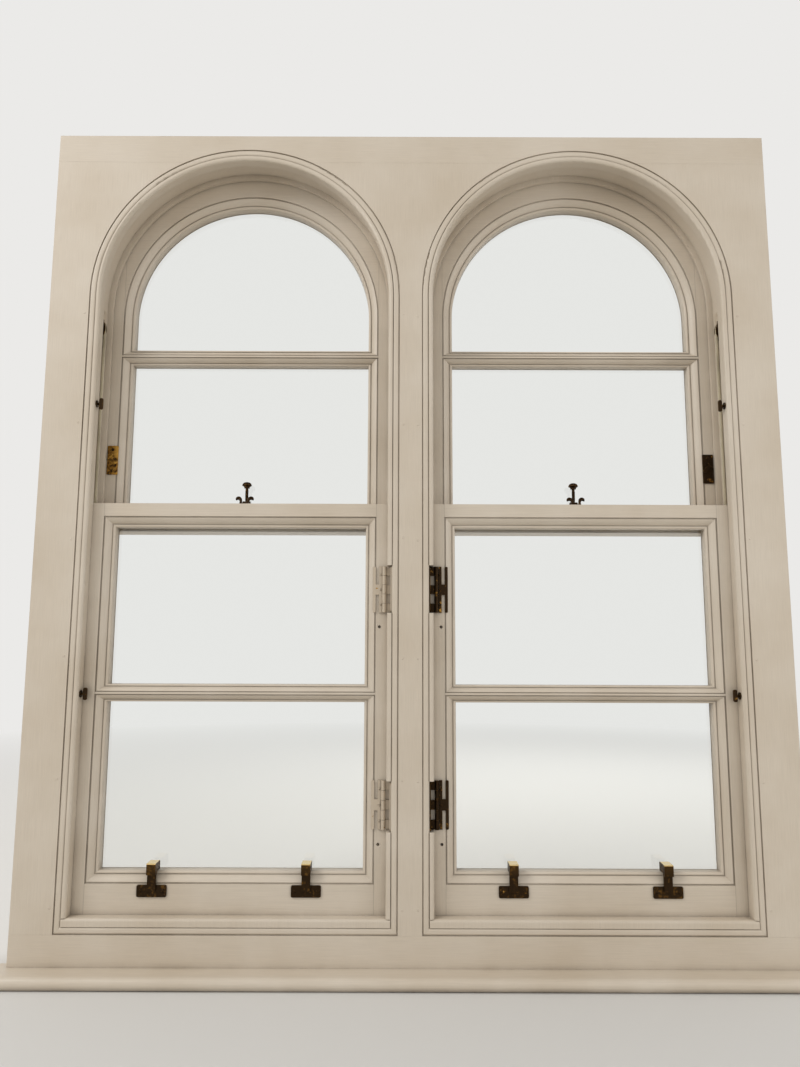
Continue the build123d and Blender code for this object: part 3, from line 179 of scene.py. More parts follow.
def dealMaterial():
    material, tree = newMaterial("sawn_red_deal")
    at = addNode(tree, "ShaderNodeTexCoord", out="Object")
    drawn = addNode(tree, "ShaderNodeMapping", {"Vector": at, "Scale": (1.0, 1.0, bareDeal["drawnOut"])})
    wave = addNode(tree, "ShaderNodeTexWave", {  # diagonal bands lie 2 pi / 10 apart at a scale of 1
        "Vector": drawn, "Scale": 2 * math.pi / 10 / bareDeal["figure"], "Distortion": 6.0, "Detail": 3.0,
        "Detail Scale": 1.5}, "Fac", bands_direction="DIAGONAL")
    across, along = 1 / bareDeal["fibreWidth"], 1 / bareDeal["fibreLength"]
    turned = addNode(tree, "ShaderNodeMapping", {"Vector": at, "Scale": (across, across, along)})
    fibre = addNode(tree, "ShaderNodeTexNoise", {"Vector": turned, "Scale": 1.0, "Detail": 2.0}, "Fac")
    rings = addNode(tree, "ShaderNodeMapRange", (wave, 0.35, 0.9, 0.0, 0.8))
    fibres = addNode(tree, "ShaderNodeMapRange", (fibre, 0.4, 0.7, 0.0, 0.35))
    bump = addNode(tree, "ShaderNodeBump", {
        "Strength": 0.4, "Distance": bareDeal["fibreDepth"], "Height": fibre})
    colour = layCoats(tree, linear(bareDeal["colour"]), [
        (rings, bareDeal["ring"]), (fibres, bareDeal["ring"])])
    closeMaterial(tree, {"Base Color": colour, "Roughness": bareDeal["roughness"], "Normal": bump})
    return material


# drawn sheet glass: clear with a faint green, and drawn upwards, so reflections in it waver
sheetGlass = {
    "colour": "F9FBFA", "wave": 0.11, "drawnOut": 0.35, "strength": 0.035, "depth": 0.01, "ior": 1.52,
}


def glassMaterial():
    material, tree = newMaterial("drawn_sheet_glass")
    at = addNode(tree, "ShaderNodeTexCoord", out="Object")
    drawn = addNode(tree, "ShaderNodeMapping", {"Vector": at, "Scale": (1.0, 1.0, sheetGlass["drawnOut"])})
    wave = addNode(tree, "ShaderNodeTexNoise", {
        "Vector": drawn, "Scale": 1 / sheetGlass["wave"], "Detail": 1.0}, "Fac")
    bump = addNode(tree, "ShaderNodeBump", {
        "Strength": sheetGlass["strength"], "Distance": sheetGlass["depth"], "Height": wave})
    closeMaterial(tree, {
        "Base Color": linear(sheetGlass["colour"]), "Transmission Weight": 1.0, "Roughness": 0.0,
        "IOR": sheetGlass["ior"], "Normal": bump})
    return material


# linseed putty, knifed to a bevel and painted over: smooth, a little crazed, yellower than the wood
linseedPutty = {
    "colour": "CBB99F", "crack": "7C6A54", "crackSpacing": 0.022, "patch": 1 / 30, "depth": 0.0008,
    "roughness": 0.6,
}


def puttyMaterial():
    material, tree = newMaterial("painted_linseed_putty")
    at = addNode(tree, "ShaderNodeTexCoord", out="Object")
    edge = addNode(tree, "ShaderNodeTexVoronoi", {
        "Vector": at, "Scale": 1 / linseedPutty["crackSpacing"]}, "Distance", feature="DISTANCE_TO_EDGE")
    patch = addNode(tree, "ShaderNodeTexNoise", {
        "Vector": at, "Scale": 1 / linseedPutty["patch"], "Detail": 3.0}, "Fac")
    line = addNode(tree, "ShaderNodeMapRange", (edge, 0.0, 0.02, 1.0, 0.0))
    crazed = addNode(tree, "ShaderNodeMapRange", (patch, 0.5, 0.6))
    crack = addNode(tree, "ShaderNodeMath", (line, crazed), operation="MULTIPLY")
    stain = addNode(tree, "ShaderNodeMath", (crack, 0.7), operation="MULTIPLY")
    height = addNode(tree, "ShaderNodeMath", (patch, crack), operation="SUBTRACT")
    bump = addNode(tree, "ShaderNodeBump", {
        "Strength": 0.35, "Distance": linseedPutty["depth"], "Height": height})
    colour = layCoats(tree, linear(linseedPutty["colour"]), [(stain, linseedPutty["crack"])])
    closeMaterial(tree, {"Base Color": colour, "Roughness": linseedPutty["roughness"], "Normal": bump})
    return material


# cast and turned brass, long unpolished: brown black with old lacquer, gold where hands rub it, a painted
# highlight and reflection on the lifts' tops; on the left hinges and the pulley plates buried under the
# window's own paint, which has chipped here and there and holds painted shade with dirt in its corners
brassLooks = {
    "paintedSkyReflection": "EBD29A", "bright": "C69A4C", "warm": "8C6530", "dark": "34271A", "spot": "16110D",
    "cloud": 0.009, "speck": 0.0016, "speckDepth": 0.0003, "hollow": 0.006, "arris": 0.0006,
    "rubbedRoughness": 0.24, "darkRoughness": 0.46,
    # the paint's colour, and its painted shade with dirt in corners
    "paint": "C2B39E", "paintShadeAndDirt": "6A5C4B", "paintRoughness": 0.5, "paintEdge": 0.0002,
}


def brassMaterial(name, wear, rubbedAndSkyLitFrom=None, painted=None):
    material, tree = newMaterial(name)
    at = addNode(tree, "ShaderNodeTexCoord", out="Object")
    parts = addNode(tree, "ShaderNodeSeparateXYZ", (at,), None).outputs
    cloud = addNode(tree, "ShaderNodeTexNoise", {
        "Vector": at, "Scale": 1 / brassLooks["cloud"], "Detail": 4.0, "Roughness": 0.6}, "Fac")
    speck = addNode(tree, "ShaderNodeTexNoise", {
        "Vector": at, "Scale": 1 / brassLooks["speck"], "Detail": 2.0}, "Fac")
    hollow = addNode(tree, "ShaderNodeAmbientOcclusion", {"Distance": brassLooks["hollow"]}, "AO", samples=6)
    soft = addNode(tree, "ShaderNodeBevel", {"Radius": brassLooks["arris"]}, samples=4)
    facing = addNode(tree, "ShaderNodeNewGeometry", out="Normal")
    bent = addNode(tree, "ShaderNodeVectorMath", (facing, soft), "Value", operation="DOT_PRODUCT")
    clouds = addNode(tree, "ShaderNodeMapRange", (cloud, 0.68 - wear * 0.45, 0.80 - wear * 0.35))
    edges = addNode(tree, "ShaderNodeMapRange", (bent, 0.98, 0.85, 0.0, 0.35 + wear * 0.5))
    rubbed = addNode(tree, "ShaderNodeMath", (clouds, edges), operation="MAXIMUM")
    if rubbedAndSkyLitFrom:  # above these levels the hood is bright where fingers rub it, brightest on its upward faces as a painted highlight, and the plate below stays dark
        level = addNode(tree, "ShaderNodeMapRange", (parts[2], *rubbedAndSkyLitFrom))
        upward = addNode(tree, "ShaderNodeSeparateXYZ", (facing,), 2)
        # upward faces lighter: a painted highlight
        top = addNode(tree, "ShaderNodeMapRange", (upward, 0.2, 0.8, 0.06, 1.0))
        reach = addNode(tree, "ShaderNodeMath", (level, top), operation="MULTIPLY")
        below = addNode(tree, "ShaderNodeMath", (rubbed, 0.25), operation="MULTIPLY")
        # rubbed here also carries the painted highlight on upward faces
        rubbed = addNode(tree, "ShaderNodeMath", (below, reach), operation="ADD", use_clamp=True)
    coats = [(addNode(tree, "ShaderNodeMapRange", (rubbed, 0.0, 0.5)), brassLooks["warm"]),
             (addNode(tree, "ShaderNodeMapRange", (rubbed, 0.4, 1.0)), brassLooks["bright"])]
    if rubbedAndSkyLitFrom:
        # pale gold on the hoods' upward tops: a painted reflection
        coats.append((addNode(tree, "ShaderNodeMapRange", (reach, 0.4, 0.9)), brassLooks["paintedSkyReflection"]))
    specks = addNode(tree, "ShaderNodeMapRange", (speck, 0.62, 0.72, 0.0, 0.8 - wear * 0.6))
    hollowDarkening = addNode(tree, "ShaderNodeMapRange", (hollow, 0.3, 0.9, 0.8, 0.0))
    coats.append((addNode(tree, "ShaderNodeMath", (specks, hollowDarkening), operation="MAXIMUM"), brassLooks["spot"]))
    colour = layCoats(tree, linear(brassLooks["dark"]), coats)
    gloss = addNode(tree, "ShaderNodeMapRange", (
        rubbed, 0.0, 1.0, brassLooks["darkRoughness"], brassLooks["rubbedRoughness"]))
    metal = 1.0
    if painted:  # paint within a reach of a centre, in both lights or in one, less where it has chipped
        centre, reach, bothLights = painted
        across = parts[0]
        if bothLights:
            across = addNode(tree, "ShaderNodeMath", (across,), operation="ABSOLUTE")
        offset = addNode(tree, "ShaderNodeMath", (across, centre), operation="SUBTRACT")
        aside = addNode(tree, "ShaderNodeMath", (offset,), operation="ABSOLUTE")
        covered = addNode(tree, "ShaderNodeMapRange", (
            aside, reach - brassLooks["paintEdge"], reach + brassLooks["paintEdge"], 1.0, 0.0))
        chips = addNode(tree, "ShaderNodeMapRange", (cloud, 0.66, 0.69))
        edgeChips = addNode(tree, "ShaderNodeMapRange", (bent, 0.93, 0.78, 0.0, 0.6))
        chipped = addNode(tree, "ShaderNodeMath", (chips, edgeChips), operation="MAXIMUM")
        whole = addNode(tree, "ShaderNodeMath", (1.0, chipped), operation="SUBTRACT")
        paint = addNode(tree, "ShaderNodeMath", (covered, whole), operation="MULTIPLY")
        # paint darker in corners and hollows: painted shade with some dirt
        corner = addNode(tree, "ShaderNodeMapRange", (hollow, 0.3, 0.95, 0.7, 0.0))
        coat = layCoats(tree, linear(brassLooks["paint"]), [(corner, brassLooks["paintShadeAndDirt"])])
        colour = addNode(tree, "ShaderNodeMix", {0: paint, 6: colour, 7: coat}, 2, data_type="RGBA")
        satin = addNode(tree, "ShaderNodeMath", (paint, brassLooks["paintRoughness"]), operation="MULTIPLY")
        gloss = addNode(tree, "ShaderNodeMath", (gloss, satin), operation="MAXIMUM")
        metal = addNode(tree, "ShaderNodeMath", (1.0, paint), operation="SUBTRACT")
    bump = addNode(tree, "ShaderNodeBump", {
        "Strength": 0.15, "Distance": brassLooks["speckDepth"], "Height": speck, "Normal": soft})
    closeMaterial(tree, {"Base Color": colour, "Metallic": metal, "Roughness": gloss, "Normal": bump})
    return material


# sand cast iron sash weights: dull grey black, coarse from the mould, with a breath of rust
castIron = {
    "colour": "3A3633", "rust": "6A3F27", "grit": 0.0016, "gritDepth": 0.0008, "rustPatch": 1 / 22,
    "metallic": 0.6, "roughness": 0.72,
}


def ironMaterial():
    material, tree = newMaterial("sand_cast_iron")
    at = addNode(tree, "ShaderNodeTexCoord", out="Object")
    grit = addNode(tree, "ShaderNodeTexNoise", {
        "Vector": at, "Scale": 1 / castIron["grit"], "Detail": 3.0}, "Fac")
    cloud = addNode(tree, "ShaderNodeTexNoise", {
        "Vector": at, "Scale": 1 / castIron["rustPatch"], "Detail": 4.0}, "Fac")
    rusted = addNode(tree, "ShaderNodeMapRange", (cloud, 0.5, 0.72, 0.0, 0.8))
    bump = addNode(tree, "ShaderNodeBump", {
        "Strength": 0.6, "Distance": castIron["gritDepth"], "Height": grit})
    closeMaterial(tree, {
        "Base Color": layCoats(tree, linear(castIron["colour"]), [(rusted, castIron["rust"])]),
        "Metallic": castIron["metallic"], "Roughness": castIron["roughness"], "Normal": bump})
    return material


# waxed cotton sash cord, braided round a core: off white strands, rubbed grey, with painted shade where they
# cross
cottonCord = {
    "colour": "CFC4A8", "shadeAndHandling": "6F644F", "thread": 0.0006, "threadDepth": 0.0002, "patch": 1 / 18,
    "crossing": 0.0012, "roughness": 0.85, "sheen": 0.3,
}


def cordMaterial():
    material, tree = newMaterial("waxed_braided_cotton")
    at = addNode(tree, "ShaderNodeTexCoord", out="Object")
    thread = addNode(tree, "ShaderNodeTexNoise", {
        "Vector": at, "Scale": 1 / cottonCord["thread"], "Detail": 2.0}, "Fac")
    patch = addNode(tree, "ShaderNodeTexNoise", {
        "Vector": at, "Scale": 1 / cottonCord["patch"], "Detail": 3.0}, "Fac")
    hollow = addNode(tree, "ShaderNodeAmbientOcclusion", {
        "Distance": cottonCord["crossing"]}, "AO", samples=6)
    # painted shade in the creases where strands cross
    crossed = addNode(tree, "ShaderNodeMapRange", (hollow, 0.35, 0.9, 0.85, 0.0))
    handled = addNode(tree, "ShaderNodeMapRange", (patch, 0.45, 0.7, 0.0, 0.45))
    colour = layCoats(tree, linear(cottonCord["colour"]), [
        (crossed, cottonCord["shadeAndHandling"]), (handled, cottonCord["shadeAndHandling"])])
    bump = addNode(tree, "ShaderNodeBump", {
        "Strength": 0.5, "Distance": cottonCord["threadDepth"], "Height": thread})
    closeMaterial(tree, {
        "Base Color": colour, "Roughness": cottonCord["roughness"], "Sheen Weight": cottonCord["sheen"],
        "Normal": bump})
    return material


# a light's half width, how deep its plates go into the stiles, and its middle
opening = {"half": 0.308, "plate": 0.003}
lightCentre = {}
for hand in hands:
    low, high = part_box(f"lower_panes_{hand}")
    lightCentre[hand] = (low.x + high.x) / 2

deal = dealMaterial()
glass = glassMaterial()
putty = puttyMaterial()
iron = ironMaterial()
cotton = cordMaterial()
handledBrass = brassMaterial("handled_turned_brass", 0.75)  # mostly gold
darkBrass = brassMaterial("unpolished_cast_brass", 0.15)  # gold on its arrises only
liftBrass = brassMaterial("cast_brass_rubbed_with_painted_highlight_on_top", 0.3, rubbedAndSkyLitFrom=(0.180, 0.200))  # bright hoods, rubbed, with a painted highlight and reflection on top
leafBrass = brassMaterial("cast_brass_hinge_painted_on_the_left", 0.15,
                          painted=(-1.0, 1.0, False))  # whatever is left of the mullion's middle
plateBrass = brassMaterial("cast_brass_painted_with_the_stile", 0.15,  # paint as far as the stiles' faces
                           painted=(lightCentre["right"], opening["half"] + opening["plate"], True))
screwBrass = brassMaterial("slotted_brass_screw", 0.35)  # turned by the driver, so rubbed here and there
paintUp = paintMaterial("brushed_oil_paint_upright", "up")
paintAcross = paintMaterial("brushed_oil_paint_level", "across")
print("materials made")

# what each CAD node is finished in
finishes = {
    "sill": paintAcross, "window_board": paintAcross, "lining_left": paintUp, "lining_right": paintUp,
    "lining_mullion": paintUp, "lining_head": paintAcross, "lining_sill": paintAcross,
    "pulley_stiles": paintUp, "pocket_pieces": paintUp, "arched_soffits": paintAcross,
    "outer_linings": paintUp, "carcase_boards": deal, "parting_slips": deal, "parting_beads": paintUp,
    "staff_beads": paintUp, "removable_beads": paintUp, "bead_turns": darkBrass,
    "pulley_cases": plateBrass, "hinge_leaves": leafBrass, "sash_cords": cotton,
    "hinge_flaps_left": leafBrass, "hinge_flaps_right": darkBrass,
    "stop_plate_left": handledBrass, "stop_tongue_left": handledBrass,
    "stop_plate_right": darkBrass, "stop_tongue_right": darkBrass,
}
for hand in hands:
    sashPaint = paintMaterial(f"brushed_oil_paint_sash_{hand}", "sash", lightCentre[hand])
    for level in ("lower", "upper"):
        finishes[f"{level}_sash_{hand}"] = sashPaint
        finishes[f"{level}_panes_{hand}"] = glass
        finishes[f"{level}_putty_{hand}"] = putty
        finishes[f"{level}_weights_{hand}"] = iron
        for place in ("outer", "inner"):
            finishes[f"{level}_wheel_{hand}_{place}"] = darkBrass
    for name in ("keep", "fastener_base", "fastener_arm", "fastener_knob"):
        finishes[f"{name}_{hand}"] = darkBrass
    finishes[f"lifts_{hand}"] = liftBrass
for name, material in finishes.items():
    nodes[name].data.materials.clear()
    nodes[name].data.materials.append(material)
print("finishes set")


def newTree(name, sizes):  # a Geometry Nodes tree with named inputs, and the sockets that carry them
    tree = bpy.data.node_groups.new(name, "GeometryNodeTree")
    tree.interface.new_socket("Geometry", in_out="INPUT", socket_type="NodeSocketGeometry")
    for size, value in sizes.items():
        kind = "NodeSocketInt" if isinstance(value, int) else "NodeSocketFloat"
        tree.interface.new_socket(size, in_out="INPUT", socket_type=kind).default_value = value
    tree.interface.new_socket("Material", in_out="INPUT", socket_type="NodeSocketMaterial")
    tree.interface.new_socket("Geometry", in_out="OUTPUT", socket_type="NodeSocketGeometry")
    return tree, addNode(tree, "NodeGroupInput", out=None).outputs


def closeTree(tree, geometry, given):
    real = addNode(tree, "GeometryNodeRealizeInstances", (geometry,))
    done = addNode(tree, "GeometryNodeSetMaterial", {"Geometry": real, "Material": given["Material"]})
    addNode(tree, "NodeGroupOutput", (done,), None)
    return tree


def grow(name, tree, mesh, material, sizes=None):  # the tree's result on a mesh, as a plain piece
    holder = bpy.data.objects.new(name, mesh)
    scene.collection.objects.link(holder)
    modifier = holder.modifiers.new("grow", "NODES")
    modifier.node_group = tree
    given = dict(sizes or {}, Material=material)
    for item in tree.interface.items_tree:
        if item.in_out == "INPUT" and item.name in given:
            modifier[item.identifier] = given[item.name]
    grown = bpy.data.meshes.new_from_object(holder.evaluated_get(bpy.context.evaluated_depsgraph_get()))
    holder.modifiers.remove(modifier)
    holder.data = grown
    return holder


def pointMesh(points, edges=()):
    mesh = bpy.data.meshes.new("points")
    mesh.from_pydata(points, list(edges), [])
    return mesh


def facedPoints(places):  # a place starts with its point and the way that it faces
    mesh = pointMesh([place[0] for place in places])
    facing = mesh.attributes.new("facing", "FLOAT_VECTOR", "POINT")
    facing.data.foreach_set("vector", [value for place in places for value in place[1]])
    return mesh


def lowHead(tree, ball, rise):  # a smooth ball, flattened to a low head
    smooth = addNode(tree, "GeometryNodeSetShadeSmooth", (ball,))
    flat = addNode(tree, "ShaderNodeCombineXYZ", (1.0, 1.0, rise))
    return addNode(tree, "GeometryNodeTransform", {"Geometry": smooth, "Scale": flat})


def aimedOut(tree):  # turns a head the way that its point faces
    facing = addNode(tree, "GeometryNodeInputNamedAttribute", {"Name": "facing"}, data_type="FLOAT_VECTOR")
    return addNode(tree, "FunctionNodeAlignRotationToVector", {"Vector": facing}, axis="Z")


# slotted screws: a low round head on every fitting's holes, each slot left at its own angle
screws = {"fitting": 0.0034, "hinge": 0.0028, "pocket": 0.0045, "dome": 0.42, "slot": 0.24, "seed": 5}


def screwTree():
    tree, given = newTree("slottedScrews", {
        "Dome": screws["dome"], "Slot": screws["slot"], "Seed": screws["seed"]})
    ball = addNode(tree, "GeometryNodeMeshUVSphere", {"Segments": 18, "Rings": 9, "Radius": 1.0})
    head = lowHead(tree, ball, given["Dome"])
    long = addNode(tree, "ShaderNodeCombineXYZ", (2.4, given["Slot"], 0.8))
    bar = addNode(tree, "GeometryNodeMeshCube", {"Size": long})
    raised = addNode(tree, "GeometryNodeTransform", {"Geometry": bar, "Translation": (0, 0, 0.55)})
    cut = addNode(tree, "GeometryNodeMeshBoolean", {"Mesh 1": head, "Mesh 2": raised}, operation="DIFFERENCE")
    size = addNode(tree, "GeometryNodeInputNamedAttribute", {"Name": "size"}, data_type="FLOAT")
    angle = addNode(tree, "FunctionNodeRandomValue", {
        2: 0.0, 3: math.pi, "Seed": given["Seed"]}, 1, data_type="FLOAT")
    spin = addNode(tree, "FunctionNodeAxisAngleToRotation", {"Axis": (0, 0, 1), "Angle": angle})
    turned = addNode(tree, "FunctionNodeRotateRotation", {
        "Rotation": aimedOut(tree), "Rotate By": spin}, rotation_space="LOCAL")
    placed = addNode(tree, "GeometryNodeInstanceOnPoints", {
        "Points": given["Geometry"], "Instance": cut, "Rotation": turned, "Scale": size})
    return closeTree(tree, placed, given)


slottedScrews = screwTree()


def driveScrews(name, body, places, material=screwBrass):  # places: point, way that it faces, head radius
    mesh = facedPoints(places)
    size = mesh.attributes.new("size", "FLOAT", "POINT")
    size.data.foreach_set("value", [place[2] for place in places])
    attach(grow(name, slottedScrews, mesh, material), body)


def islands(name, length=0.0):  # the boxes of a node's separate solids that stand taller than a length
    tool = bmesh.new()
    tool.from_mesh(nodes[name].data)
    bmesh.ops.remove_doubles(tool, verts=tool.verts, dist=1e-6)
    left, found = set(tool.verts), []
    while left:
        stack, group = [left.pop()], []
        while stack:
            vert = stack.pop()
            group.append(vert.co.copy())
            for edge in vert.link_edges:
                other = edge.other_vert(vert)
                if other in left:
                    left.discard(other)
                    stack.append(other)
        low, high = (Vector([pick(p[i] for p in group) for i in range(3)]) for pick in (min, max))
        if high.z - low.z > length:
            found.append((low, high))
    tool.free()
    return sorted(found, key=lambda box: tuple(box[0]))


def openingFace(low, high):  # the face that a piece turns to its light, and which way that is
    hand = 1 if low.x + high.x > 0 else -1
    outer = min(abs(low.x), abs(high.x)) > opening["half"]  # outer pieces face the mullion
    toward = -hand if outer else hand
    return high.x if toward > 0 else low.x, toward


# where the fittings' screws are: in from each fitting's own edges, on a plate of its own thickness
holes = {
    "pulleyPlate": 0.06, "pulleyInset": 0.006, "pocketInset": 0.030,
    "hingePin": 0.004, "hingeRow": 0.0076, "hingeSpacing": 0.030, "hingeThick": 0.0024, "proud": 0.0001,
    "liftInset": 0.007, "liftUp": 0.011, "plateThick": 0.0025,
    "keepInset": 0.008, "keepCorner": (0.0036, 0.005), "stopInset": 0.008, "stopThick": 0.002,
    "baseInset": 0.006,
}
frameScrews = []
for low, high in islands("pulley_cases", holes["pulleyPlate"]):
    face, toward = openingFace(low, high)
    for z in (low.z + holes["pulleyInset"], high.z - holes["pulleyInset"]):
        frameScrews.append(((face, (low.y + high.y) / 2, z), (toward, 0, 0), screws["fitting"]))
for low, high in islands("pocket_pieces"):
    face, toward = openingFace(low, high)
    point = (face, (low.y + high.y) / 2, low.z + holes["pocketInset"])
    frameScrews.append((point, (toward, 0, 0), screws["pocket"]))
driveScrews("frame_screws", "frame", frameScrews, plateBrass)
for hand, side in hands.items():
    flapScrews = []
    for low, high in islands(f"hinge_flaps_{hand}"):
        row = (low.x if side > 0 else high.x) + side * (holes["hingePin"] + holes["hingeRow"])
        y = high.y - holes["hingeThick"] + holes["proud"]
        for lift in (-holes["hingeSpacing"], 0.0, holes["hingeSpacing"]):
            flapScrews.append(((row, y, (low.z + high.z) / 2 + lift), (0, -1, 0), screws["hinge"]))
    driveScrews(f"hinge_flap_screws_{hand}", f"hinge_flaps_{hand}", flapScrews,
                leafBrass if hand == "left" else darkBrass)
    lowerScrews = []
    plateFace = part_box(f"lower_sash_{hand}")[0].y - holes["plateThick"]
    for low, high in islands(f"lifts_{hand}"):
        for x in (low.x + holes["liftInset"], high.x - holes["liftInset"]):
            lowerScrews.append(((x, plateFace, low.z + holes["liftUp"]), (0, -1, 0), screws["fitting"]))
    low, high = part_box(f"keep_{hand}")
    cornerIn, cornerBack = holes["keepCorner"]
    for x, y, size in ((high.x - holes["keepInset"], (low.y + high.y) / 2, screws["fitting"]),
                       (low.x + cornerIn, high.y - cornerBack, screws["hinge"])):
        lowerScrews.append(((x, y, low.z + holes["plateThick"]), (0, 0, 1), size))
    driveScrews(f"lift_and_keep_screws_{hand}", f"lower_sash_{hand}", lowerScrews, darkBrass)
    low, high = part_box(f"stop_plate_{hand}")
    upperScrews = [(((low.x + high.x) / 2, high.y - holes["stopThick"], z), (0, -1, 0), screws["fitting"])
                   for z in (low.z + holes["stopInset"], high.z - holes["stopInset"])]
    low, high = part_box(f"fastener_base_{hand}")
    upperScrews += [((x, (low.y + high.y) / 2, low.z + holes["plateThick"]), (0, 0, 1), screws["fitting"])
                    for x in (low.x + holes["baseInset"], high.x - holes["baseInset"])]
    driveScrews(f"stop_and_base_screws_{hand}", f"upper_sash_{hand}", upperScrews)
print("screws driven")


# nails that hold the fixed beads and the linings, punched in, stopped and painted over: low round blisters
nails = {"size": 0.0021, "rise": 0.16, "spacing": 0.235, "end": 0.045, "liningIn": 0.022, "wander": 0.004,
         "seed": 11, "beadLength": 0.12, "beadWidth": 0.03}


def nailTree():
    tree, given = newTree("paintedNails", {
        "Size": nails["size"], "Rise": nails["rise"], "Wander": nails["wander"], "Seed": nails["seed"]})
    ball = addNode(tree, "GeometryNodeMeshIcoSphere", {"Radius": given["Size"], "Subdivisions": 2})
    down = addNode(tree, "ShaderNodeMath", (given["Wander"], -1.0), operation="MULTIPLY")
    up = addNode(tree, "FunctionNodeRandomValue", {
        2: down, 3: given["Wander"], "Seed": given["Seed"]}, 1, data_type="FLOAT")
    moved = addNode(tree, "ShaderNodeCombineXYZ", {2: up})
    points = addNode(tree, "GeometryNodeSetPosition", {"Geometry": given["Geometry"], "Offset": moved})
    placed = addNode(tree, "GeometryNodeInstanceOnPoints", {
        "Points": points, "Instance": lowHead(tree, ball, given["Rise"]), "Rotation": aimedOut(tree)})
    return closeTree(tree, placed, given)


def upTheLength(low, high):  # levels of the nails in an upright piece
    count = max(2, round((high - low - 2 * nails["end"]) / nails["spacing"]) + 1)
    step = (high - low - 2 * nails["end"]) / (count - 1)
    return [low + nails["end"] + step * i for i in range(count)]


nailed = []
for low, high in islands("staff_beads", nails["beadLength"]):
    if high.x - low.x < nails["beadWidth"]:  # the straight lengths beside the mullion
        face, toward = openingFace(low, high)
        nailed += [((face, (low.y + high.y) / 2, z), (toward, 0, 0)) for z in upTheLength(low.z, high.z)]
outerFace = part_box("removable_beads")[1].x  # pulley stile faces, and where the arches spring
innerFace, spring = outerFace - 2 * opening["half"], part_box("pulley_stiles")[1].z
low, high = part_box("lining_left")
for x in (outerFace + nails["liningIn"], innerFace - nails["liningIn"]):
    nailed += [((side * x, low.y, z), (0, -1, 0)) for side in (-1, 1) for z in upTheLength(low.z, spring)]
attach(grow("painted_nails", nailTree(), facedPoints(nailed), paintUp), "frame")
print("nails driven:", len(nailed))


# fastener: the screw thread that the knob runs down, from a height over the pivot, and its milled edge
fastener = {"pivot": 0.0045, "from": 0.0085, "rise": 0.0195, "turns": 13, "radius": 0.0029, "crest": 0.0007,
            "ridges": 44, "ridgeSize": 0.0009, "ridgeHeight": 0.0022, "edge": 0.0093, "edgeDrop": 0.0068}


def threadTree():
    tree, given = newTree("screwThread", {
        "Turns": float(fastener["turns"]), "Radius": fastener["radius"], "Rise": fastener["rise"],
        "Crest": fastener["crest"]})
    spiral = addNode(tree, "GeometryNodeCurveSpiral", {
        "Resolution": 20, "Rotations": given["Turns"], "Start Radius": given["Radius"],
        "End Radius": given["Radius"], "Height": given["Rise"]})
    section = addNode(tree, "GeometryNodeCurvePrimitiveCircle", {"Resolution": 4, "Radius": given["Crest"]})
    thread = addNode(tree, "GeometryNodeCurveToMesh", {
        "Curve": spiral, "Profile Curve": section, "Fill Caps": True})
    placed = addNode(tree, "GeometryNodeInstanceOnPoints", {"Points": given["Geometry"], "Instance": thread})
    return closeTree(tree, placed, given)


def millTree():
    tree, given = newTree("milledEdge", {
        "Ridges": fastener["ridges"], "Radius": fastener["edge"], "Size": fastener["ridgeSize"],
        "Height": fastener["ridgeHeight"]})
    ring = addNode(tree, "GeometryNodeMeshCircle", {"Vertices": given["Ridges"], "Radius": given["Radius"]})
    size = addNode(tree, "ShaderNodeCombineXYZ", (given["Size"], given["Size"], given["Height"]))
    ridge = addNode(tree, "GeometryNodeMeshCube", {"Size": size})
    turned = addNode(tree, "GeometryNodeTransform", {"Geometry": ridge, "Rotation": (0, 0, math.radians(45))})
    out = addNode(tree, "GeometryNodeInputPosition")
    aimed = addNode(tree, "FunctionNodeAlignRotationToVector", {"Vector": out}, axis="X")
    ridges = addNode(tree, "GeometryNodeInstanceOnPoints", {
        "Points": ring, "Instance": turned, "Rotation": aimed})
    placed = addNode(tree, "GeometryNodeInstanceOnPoints", {"Points": given["Geometry"], "Instance": ridges})
    return closeTree(tree, placed, given)


# the keep's two horns, which curl up and outwards from its stubs on either side of the slot:
# out from the slot's centre, behind the keep's front, above the rail, and half the horn's thickness there
hornBend = [
    (0.0070, 0.0055, 0.0040, 0.0023), (0.0070, 0.0060, 0.0095, 0.0024), (0.0078, 0.0080, 0.0145, 0.0031),
    (0.0102, 0.0102, 0.0182, 0.0036), (0.0138, 0.0108, 0.0190, 0.0039), (0.0166, 0.0106, 0.0170, 0.0036),
    (0.0178, 0.0104, 0.0140, 0.0008),
]


def castHorns(name, centre, front, foot):
    curve = bpy.data.curves.new(name, "CURVE")
    curve.dimensions = "3D"
    curve.bevel_depth, curve.bevel_resolution, curve.use_fill_caps = 1.0, 3, True
    for way in (-1, 1):
        spline = curve.splines.new("NURBS")
        spline.points.add(len(hornBend) - 1)
        for point, (out, behind, above, thick) in zip(spline.points, hornBend):
            point.co = (centre + way * out, front + behind, foot + above, 1.0)
            point.radius = thick
        spline.order_u, spline.use_endpoint_u, spline.resolution_u = 4, True, 6
    holder = bpy.data.objects.new(name, curve)
    scene.collection.objects.link(holder)
    mesh = bpy.data.meshes.new_from_object(holder.evaluated_get(bpy.context.evaluated_depsgraph_get()))
    bpy.data.objects.remove(holder)
    mesh.materials.clear()
    mesh.materials.append(darkBrass)
    horns = bpy.data.objects.new(name, mesh)
    scene.collection.objects.link(horns)
    return horns


